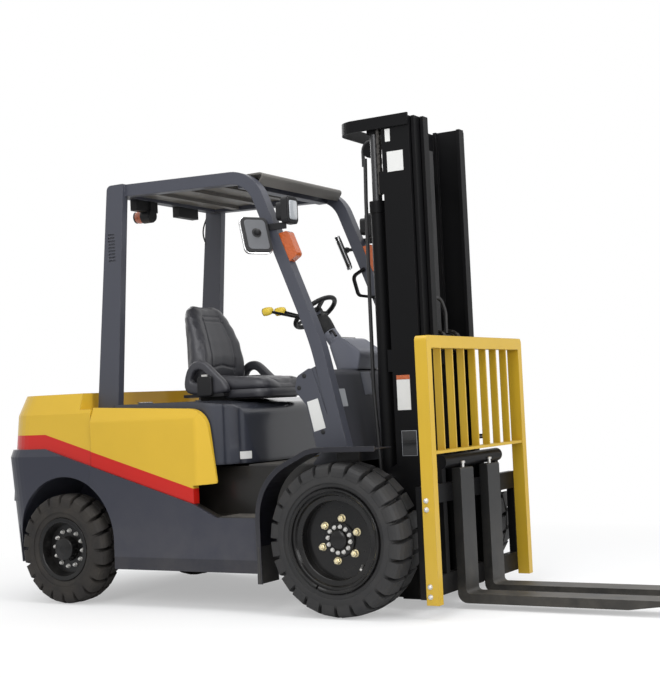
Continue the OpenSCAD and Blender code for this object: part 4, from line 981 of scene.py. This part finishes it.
KNOB_LEAN = math.radians(82)
knob_half = Vector((math.sin(KNOB_LEAN), 0, math.cos(KNOB_LEAN))) * 0.030
for number, x, y in ((1, -505, -262), (2, -540, -330)):
    middle = at(x, y, 1535)
    knob = spun(middle - knob_half, middle + knob_half,
                [(0, 0.012), (0.08, 0.020), (0.25, 0.0225), (0.6, 0.0215), (0.9, 0.017), (1, 0.010)])
    add(f"lever_knob_{number}", knob, knob_yellow, "chassis", True)

dial_face = frame_from(at(-267, 0, 1371), (-0.477, 0, 0.879))
add("dial_panel", rounded_plate((0.088, 0.020), 0.008, 0.006, 0.002, dial_face), dial_black, "chassis")
stalk = [at(-345, -30, 1418), at(-305, -70, 1424), at(-275, -84, 1392)]
mount(tube("column_stalk", stalk, 0.007, 0.02, black_plastic, 8), "chassis")
boot = spun(at(-429, 0, 1506), at(-364, 0, 1417),
            [(0, 0.036), (0.15, 0.046), (0.45, 0.048), (0.8, 0.044), (1, 0.0405)])
add("column_boot", boot, black_plastic, "chassis", True)

# The dash's front leans back from its foot by this much for each unit of height
DASH_FOOT = (-44, 800)
DASH_LEAN = 0.1912
for name, y, z, halves, material in (("plate_dash", -352, 1062, (0.034, 0.046), plate_grey),
                                     ("plate_switch", -70, 1132, (0.048, 0.062), cowl_plastic)):
    face = frame_from(at(DASH_FOOT[0] - (z - DASH_FOOT[1]) * DASH_LEAN, y, z), (0.982, 0, 0.188))
    add(name, rounded_plate(halves, 0.005, 0.002, 0.001, face), material, "chassis")


# Blank plates, plugs, bolts and treads

MAST_SIDE_Y = -313.9
PLATE_FACE_Y = -315.2
for name, x, z, y, thickness, material in (
    ("plate_top", (204, 294), (2182, 2284), MAST_SIDE_Y, 1.4, plate_white),
    ("plate_tag", (198, 226), (2336, 2400), MAST_SIDE_Y, 1.4, plate_white),
    ("plate_load", (198, 272), (986, 1160), MAST_SIDE_Y, 1.4, plate_white),
    ("plate_rim", (212, 296), (758, 884), MAST_SIDE_Y, 1.4, plate_grey),
    ("plate_dark", (214.5, 293.5), (760.5, 881.5), PLATE_FACE_Y, 0.8, dial_black),
    ("plate_band", (198, 272), (1138, 1160), PLATE_FACE_Y, 0.8, lens_orange),
):
    add(name, side_plate(rectangle(x, z), y, -thickness), material, "mast_base")
add("plate_pillar", side_plate([(-236, 1048), (-172, 1064), (-133, 914), (-201, 896)], -469.9, -1.6),
    plate_white, "chassis")
hood_corner = frame_from(at(-676, -394, 784), (0.857, -0.514, 0))
add("plate_hood", rounded_plate((0.034, 0.020), 0.003, 0.0015, 0.0005, hood_corner), plate_white, "hood_lid")
add("gusset_fill", side_plate([(-206, 1216), (-182, 1225), (-72, 815), (-92, 815)], -466, 10), guard_paint,
    "chassis")
for number, (x, z) in enumerate(((-247, 1180), (-280, 1120), (-150, 894)), 1):
    add(f"plug_{number}", spun(at(x, -469, z), at(x, -474, z), [(0, 0.012), (0.6, 0.012), (1, 0.007)], 18),
        black_plastic, "chassis", True)

for side, name in SIDES:
    points, faces = turned_side(hex_nut(*mm(19, 11, 10, 3, 0)), side)
    heads = [(shifted(points, at(462, side * 577, z)), faces) for z in (559, 517, 157, 110)]
    add("post_bolts_" + name, joined(*heads), zinc, "lift_carriage")
    add("fork_pin_" + name, spun(at(464, side * 162, 684), at(464, side * 162, 722),
                                 [(0, 0.009), (0.7, 0.009), (0.72, 0.014), (0.95, 0.014), (1, 0.011)], 18),
        zinc, "lift_carriage", True)
    add("step_tread_" + name, crate((-712, -474), sorted((side * 610, side * 428)), (475, 480)), floor_rubber,
        "chassis")
    add("mud_flap_" + name, crate((-457.5, -445.5), sorted((side * 646, side * 478)), (152, 335)),
        hose_rubber, "chassis")


# Leaf chains: wide and narrow steps of plates in turn, linked by pins

PITCH = 0.0254
LINK_R = 0.0076
LINK_HALF_T = 0.0018
PIN_R = 0.0042
PIN_HALF = 0.0155
WIDE = (-0.012, -0.004, 0.004, 0.012)
NARROW = (-0.008, 0.0, 0.008)
CHAIN_Y = 0.084
FRONT_CHAIN_X, REAR_CHAIN_X = 368, 244
SHEAVE = at(306, 0, 1320.5)
SHEAVE_R = 0.062
WRAP_START, WRAP_STEP, WRAP_LINKS = -82, 23.5, 8


def chain_link(y, offsets):
    """One step of a chain about the origin's height: plates side by side, and the pin at its upper end."""
    outline = []
    for end, turn in ((1, 0), (-1, math.pi)):
        for i in range(6):
            a = turn + math.pi * i / 5
            outline.append((LINK_R * math.cos(a), end * PITCH / 2 + LINK_R * math.sin(a)))
    plates = [loft([[Vector((x, y + shift + half, z)) for x, z in outline]
                    for half in (-LINK_HALF_T, LINK_HALF_T)]) for shift in offsets]
    pin = spun((0, y - PIN_HALF, PITCH / 2), (0, y + PIN_HALF, PITCH / 2), [(0, PIN_R), (1, PIN_R)], 8)
    return joined(*plates, pin)


def chain_pair(y):
    points, faces = chain_link(y, NARROW)
    return joined(chain_link(y, WIDE), (shifted(points, Vector((0, 0, PITCH))), faces))


def chain_row(name, pairs, count, foot, body):
    """Straight chains of so many pairs of steps, upwards from their foot."""
    row = row_of(name, pairs, chain_steel, count, foot + Vector((0, 0, PITCH)), (0, 0, 2 * PITCH))
    return mount(row, body)


def chain_runs(name, x, z0, z1, body):
    """A chain on each side, as many whole pairs as fit between two heights."""
    pairs = joined(chain_pair(-CHAIN_Y), chain_pair(CHAIN_Y))
    return chain_row(name, pairs, int((z1 - z0) / 1000 / (2 * PITCH)), at(x, 0, z0), body)


front_runs = chain_runs("chain_front", FRONT_CHAIN_X, 533, 1330, "lift_carriage")
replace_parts(front_runs, "lift_chains")
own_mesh(front_runs)
rear_runs = chain_runs("chain_rear", REAR_CHAIN_X, 128, 1335, "mast_third")
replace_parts(rear_runs, "chain_rear_runs")
# A second length over the upper part of the rear run, so that it stays whole when the crosshead rises
chain_runs("chain_rear_upper", REAR_CHAIN_X, 585.2, 1335, "crosshead")
bends = []
for side, name in SIDES:
    for step in range(WRAP_LINKS):
        round_sheave = Matrix.Rotation(math.radians(WRAP_START + WRAP_STEP * step), 4, "Y")
        swing = round_sheave @ Matrix.Translation((0, 0, SHEAVE_R))
        turned = Matrix.Translation(SHEAVE) @ swing @ Matrix.Rotation(math.pi / 2, 4, "Y")
        bends.append(placed(chain_link(side * CHAIN_Y, (WIDE, NARROW)[step % 2]), turned))
    chain_row("rod_chain_" + name, chain_pair(0), 7, at(146, side * 286, 2072), "mast_second")
add("chain_wrap", joined(*bends), chain_steel, "crosshead")


# Hoses, pipes and a cable, held along their whole run

LIFT_HOSE = ((16, 200, 2290), (10, 200, 2076), (4, 200, 1559), (4, 202, 1100), (36, 226, 760), (52, 236, 560))
LIFT_PIPE = ((64, 214, 2060), (56, 214, 1553), (46, 214, 1093), (56, 222, 700), (60, 226, 540))
PULLEY_X, PULLEY_Y, PULLEY_Z, PULLEY_R = 52, 200, 2329, 47
MAST_HOSE_R = 0.0065
MAST_HOSE_LENGTH = 2.112

for side, name in SIDES:
    for label, run, radius, material in (("lift_hose_", LIFT_HOSE, 0.010, hose_rubber),
                                         ("lift_pipe_", LIFT_PIPE, 0.007, mast_paint)):
        path = [at(x, side * y, z) for x, y, z in run]
        mount(tube(label + name, path, radius, 0.10, material), "mast_base")
    turns = [math.radians(a) for a in range(0, 181, 20)]
    y = side * PULLEY_Y
    over = [at(PULLEY_X + PULLEY_R * math.cos(a), y, PULLEY_Z + PULLEY_R * math.sin(a)) for a in turns]
    ends = at(PULLEY_X + PULLEY_R, y, 2230), at(PULLEY_X - PULLEY_R, y, 2250)
    loop = tube("pulley_hose_" + name, [ends[0]] + over + [ends[1]], 0.009, 0.01, hose_rubber)
    mount(loop, "mast_second")
    straight = spun((0, 0, 0), (0, 0, MAST_HOSE_LENGTH), [(0, MAST_HOSE_R), (1, MAST_HOSE_R)], 12)
    hoses = row_of("mast_hoses_" + name, straight, hose_rubber, 5, at(226, side * 106, 236),
                   (0, side * 0.0128, 0), True)
    mount(hoses, "mast_third")
bow = [(k / 18, math.sin(math.pi * k / 18)) for k in range(19)]
cable_path = [at(-1472 - 30 * out, 452 - 8 * out, 2214 - 194 * t) for t, out in bow]
mount(tube("lamp_cable", cable_path, 0.005, 0.004, hose_rubber, 8), "chassis")
free_path = [at(268, -52, 1356), at(266, -66, 1480), at(280, -30, 1556), at(296, 30, 1556), at(306, 60, 1480),
             at(306, 58, 1372)]
mount(tube("free_lift_hose", free_path, 0.010, 0.06, hose_rubber), "crosshead")


# Stage: pale floor, soft light and the photograph's camera

FLOOR_HALF = 40


def build_floor():
    """A pale floor that fades to plain white away from the truck and keeps its shadow near it."""
    h = FLOOR_HALF
    material = bpy.data.materials.new("pale_floor")
    corners = [(-h, -h, 0), (h, -h, 0), (h, h, 0), (-h, h, 0)]
    mesh_object("floor", corners, [(0, 1, 2, 3)], material, smooth=False)
    material.use_nodes = True
    tree = material.node_tree
    shader = tree.nodes["Principled BSDF"]
    shader.inputs["Roughness"].default_value = 0.9
    shader.inputs["Specular IOR Level"].default_value = 0.1
    place = object_coordinates(tree)
    pale = mix_colour(tree, noise(tree, place, 0.6, 3.0), (0.90, 0.90, 0.90, 1), (0.93, 0.93, 0.93, 1))
    tree.links.new(pale, shader.inputs["Base Color"])
    away = node(tree, "ShaderNodeVectorMath", {"operation": "LENGTH"}, i0=place).outputs["Value"]
    share = math_node(tree, "ADD", math_node(tree, "MULTIPLY", ramp(tree, away, 1.3, 3.8), 0.6), 0.4)
    seen = tree.nodes.new("ShaderNodeLightPath").outputs["Is Camera Ray"]
    fade = math_node(tree, "MULTIPLY", share, seen)
    white = node(tree, "ShaderNodeEmission", Color=(1, 1, 1, 1), Strength=1.0)
    faded = node(tree, "ShaderNodeMixShader", i0=fade, i1=shader.outputs[0], i2=white.outputs[0])
    tree.links.new(faded.outputs[0], tree.nodes["Material Output"].inputs["Surface"])


def build_world():
    """A soft sky that shows as white to the camera and in what mirrors it."""
    world = bpy.context.scene.world or bpy.data.worlds.new("studio")
    bpy.context.scene.world = world
    world.use_nodes = True
    tree = world.node_tree
    tree.nodes.clear()
    rays = tree.nodes.new("ShaderNodeLightPath").outputs
    bounced = math_node(tree, "MAXIMUM", rays["Is Glossy Ray"], rays["Is Transmission Ray"])
    seen = math_node(tree, "MAXIMUM", rays["Is Camera Ray"], bounced)
    soft_sky = node(tree, "ShaderNodeBackground", Color=(0.93, 0.96, 1.0, 1), Strength=0.36)
    white = node(tree, "ShaderNodeBackground", Color=(1, 1, 1, 1), Strength=1.0)
    both = node(tree, "ShaderNodeMixShader", i0=seen, i1=soft_sky.outputs[0], i2=white.outputs[0])
    tree.links.new(both.outputs[0], tree.nodes.new("ShaderNodeOutputWorld").inputs[0])


def build_lights():
    for name, place, aim, size, power in (
        ("overhead_box", (0.3, -0.6, 6.0), (0, 0, 0.6), 5.0, 235),
        ("key_box", (1.2, -6.5, 4.4), (-0.2, 0, 0.9), 3.6, 175),
        ("front_box", (6.5, -1.5, 3.4), (0, 0, 0.9), 3.0, 225),
        ("rear_box", (-5.5, 3.5, 4.0), (0, 0, 0.9), 3.4, 95),
    ):
        lamp = bpy.data.lights.new(name, "AREA")
        lamp.shape = "SQUARE"
        lamp.size = size
        lamp.energy = power
        holder = bpy.data.objects.new(name, lamp)
        holder.location = place
        holder.rotation_euler = (Vector(aim) - Vector(place)).to_track_quat("-Z", "Y").to_euler()
        bpy.context.collection.objects.link(holder)


CAMERA_PLACE = (3.6072, -6.1103, 1.0554)
CAMERA_TURNS = (30.655, 2.636, -2.636)
LENS_LENGTH = 69.62
SENSOR_WIDTH = 36


def build_camera():
    """The camera that was fitted to the photograph, from its yaw, pitch and roll."""
    yaw, pitch, roll = [math.radians(a) for a in CAMERA_TURNS]
    ahead = Vector((-math.sin(yaw) * math.cos(pitch), math.cos(yaw) * math.cos(pitch), math.sin(pitch)))
    right = ahead.cross(Vector((0, 0, 1))).normalized()
    up = right.cross(ahead)
    tilted_right = right * math.cos(roll) + up * math.sin(roll)
    tilted_up = up * math.cos(roll) - right * math.sin(roll)
    lens = bpy.data.cameras.new("photo_camera")
    lens.lens = LENS_LENGTH
    lens.sensor_width = SENSOR_WIDTH
    camera = bpy.data.objects.new("photo_camera", lens)
    turn = Matrix((tilted_right, tilted_up, -ahead)).transposed().to_4x4()
    camera.matrix_world = Matrix.Translation(CAMERA_PLACE) @ turn
    bpy.context.collection.objects.link(camera)
    bpy.context.scene.camera = camera


build_floor()
build_world()
build_lights()
build_camera()
bpy.context.scene.view_settings.view_transform = "Standard"
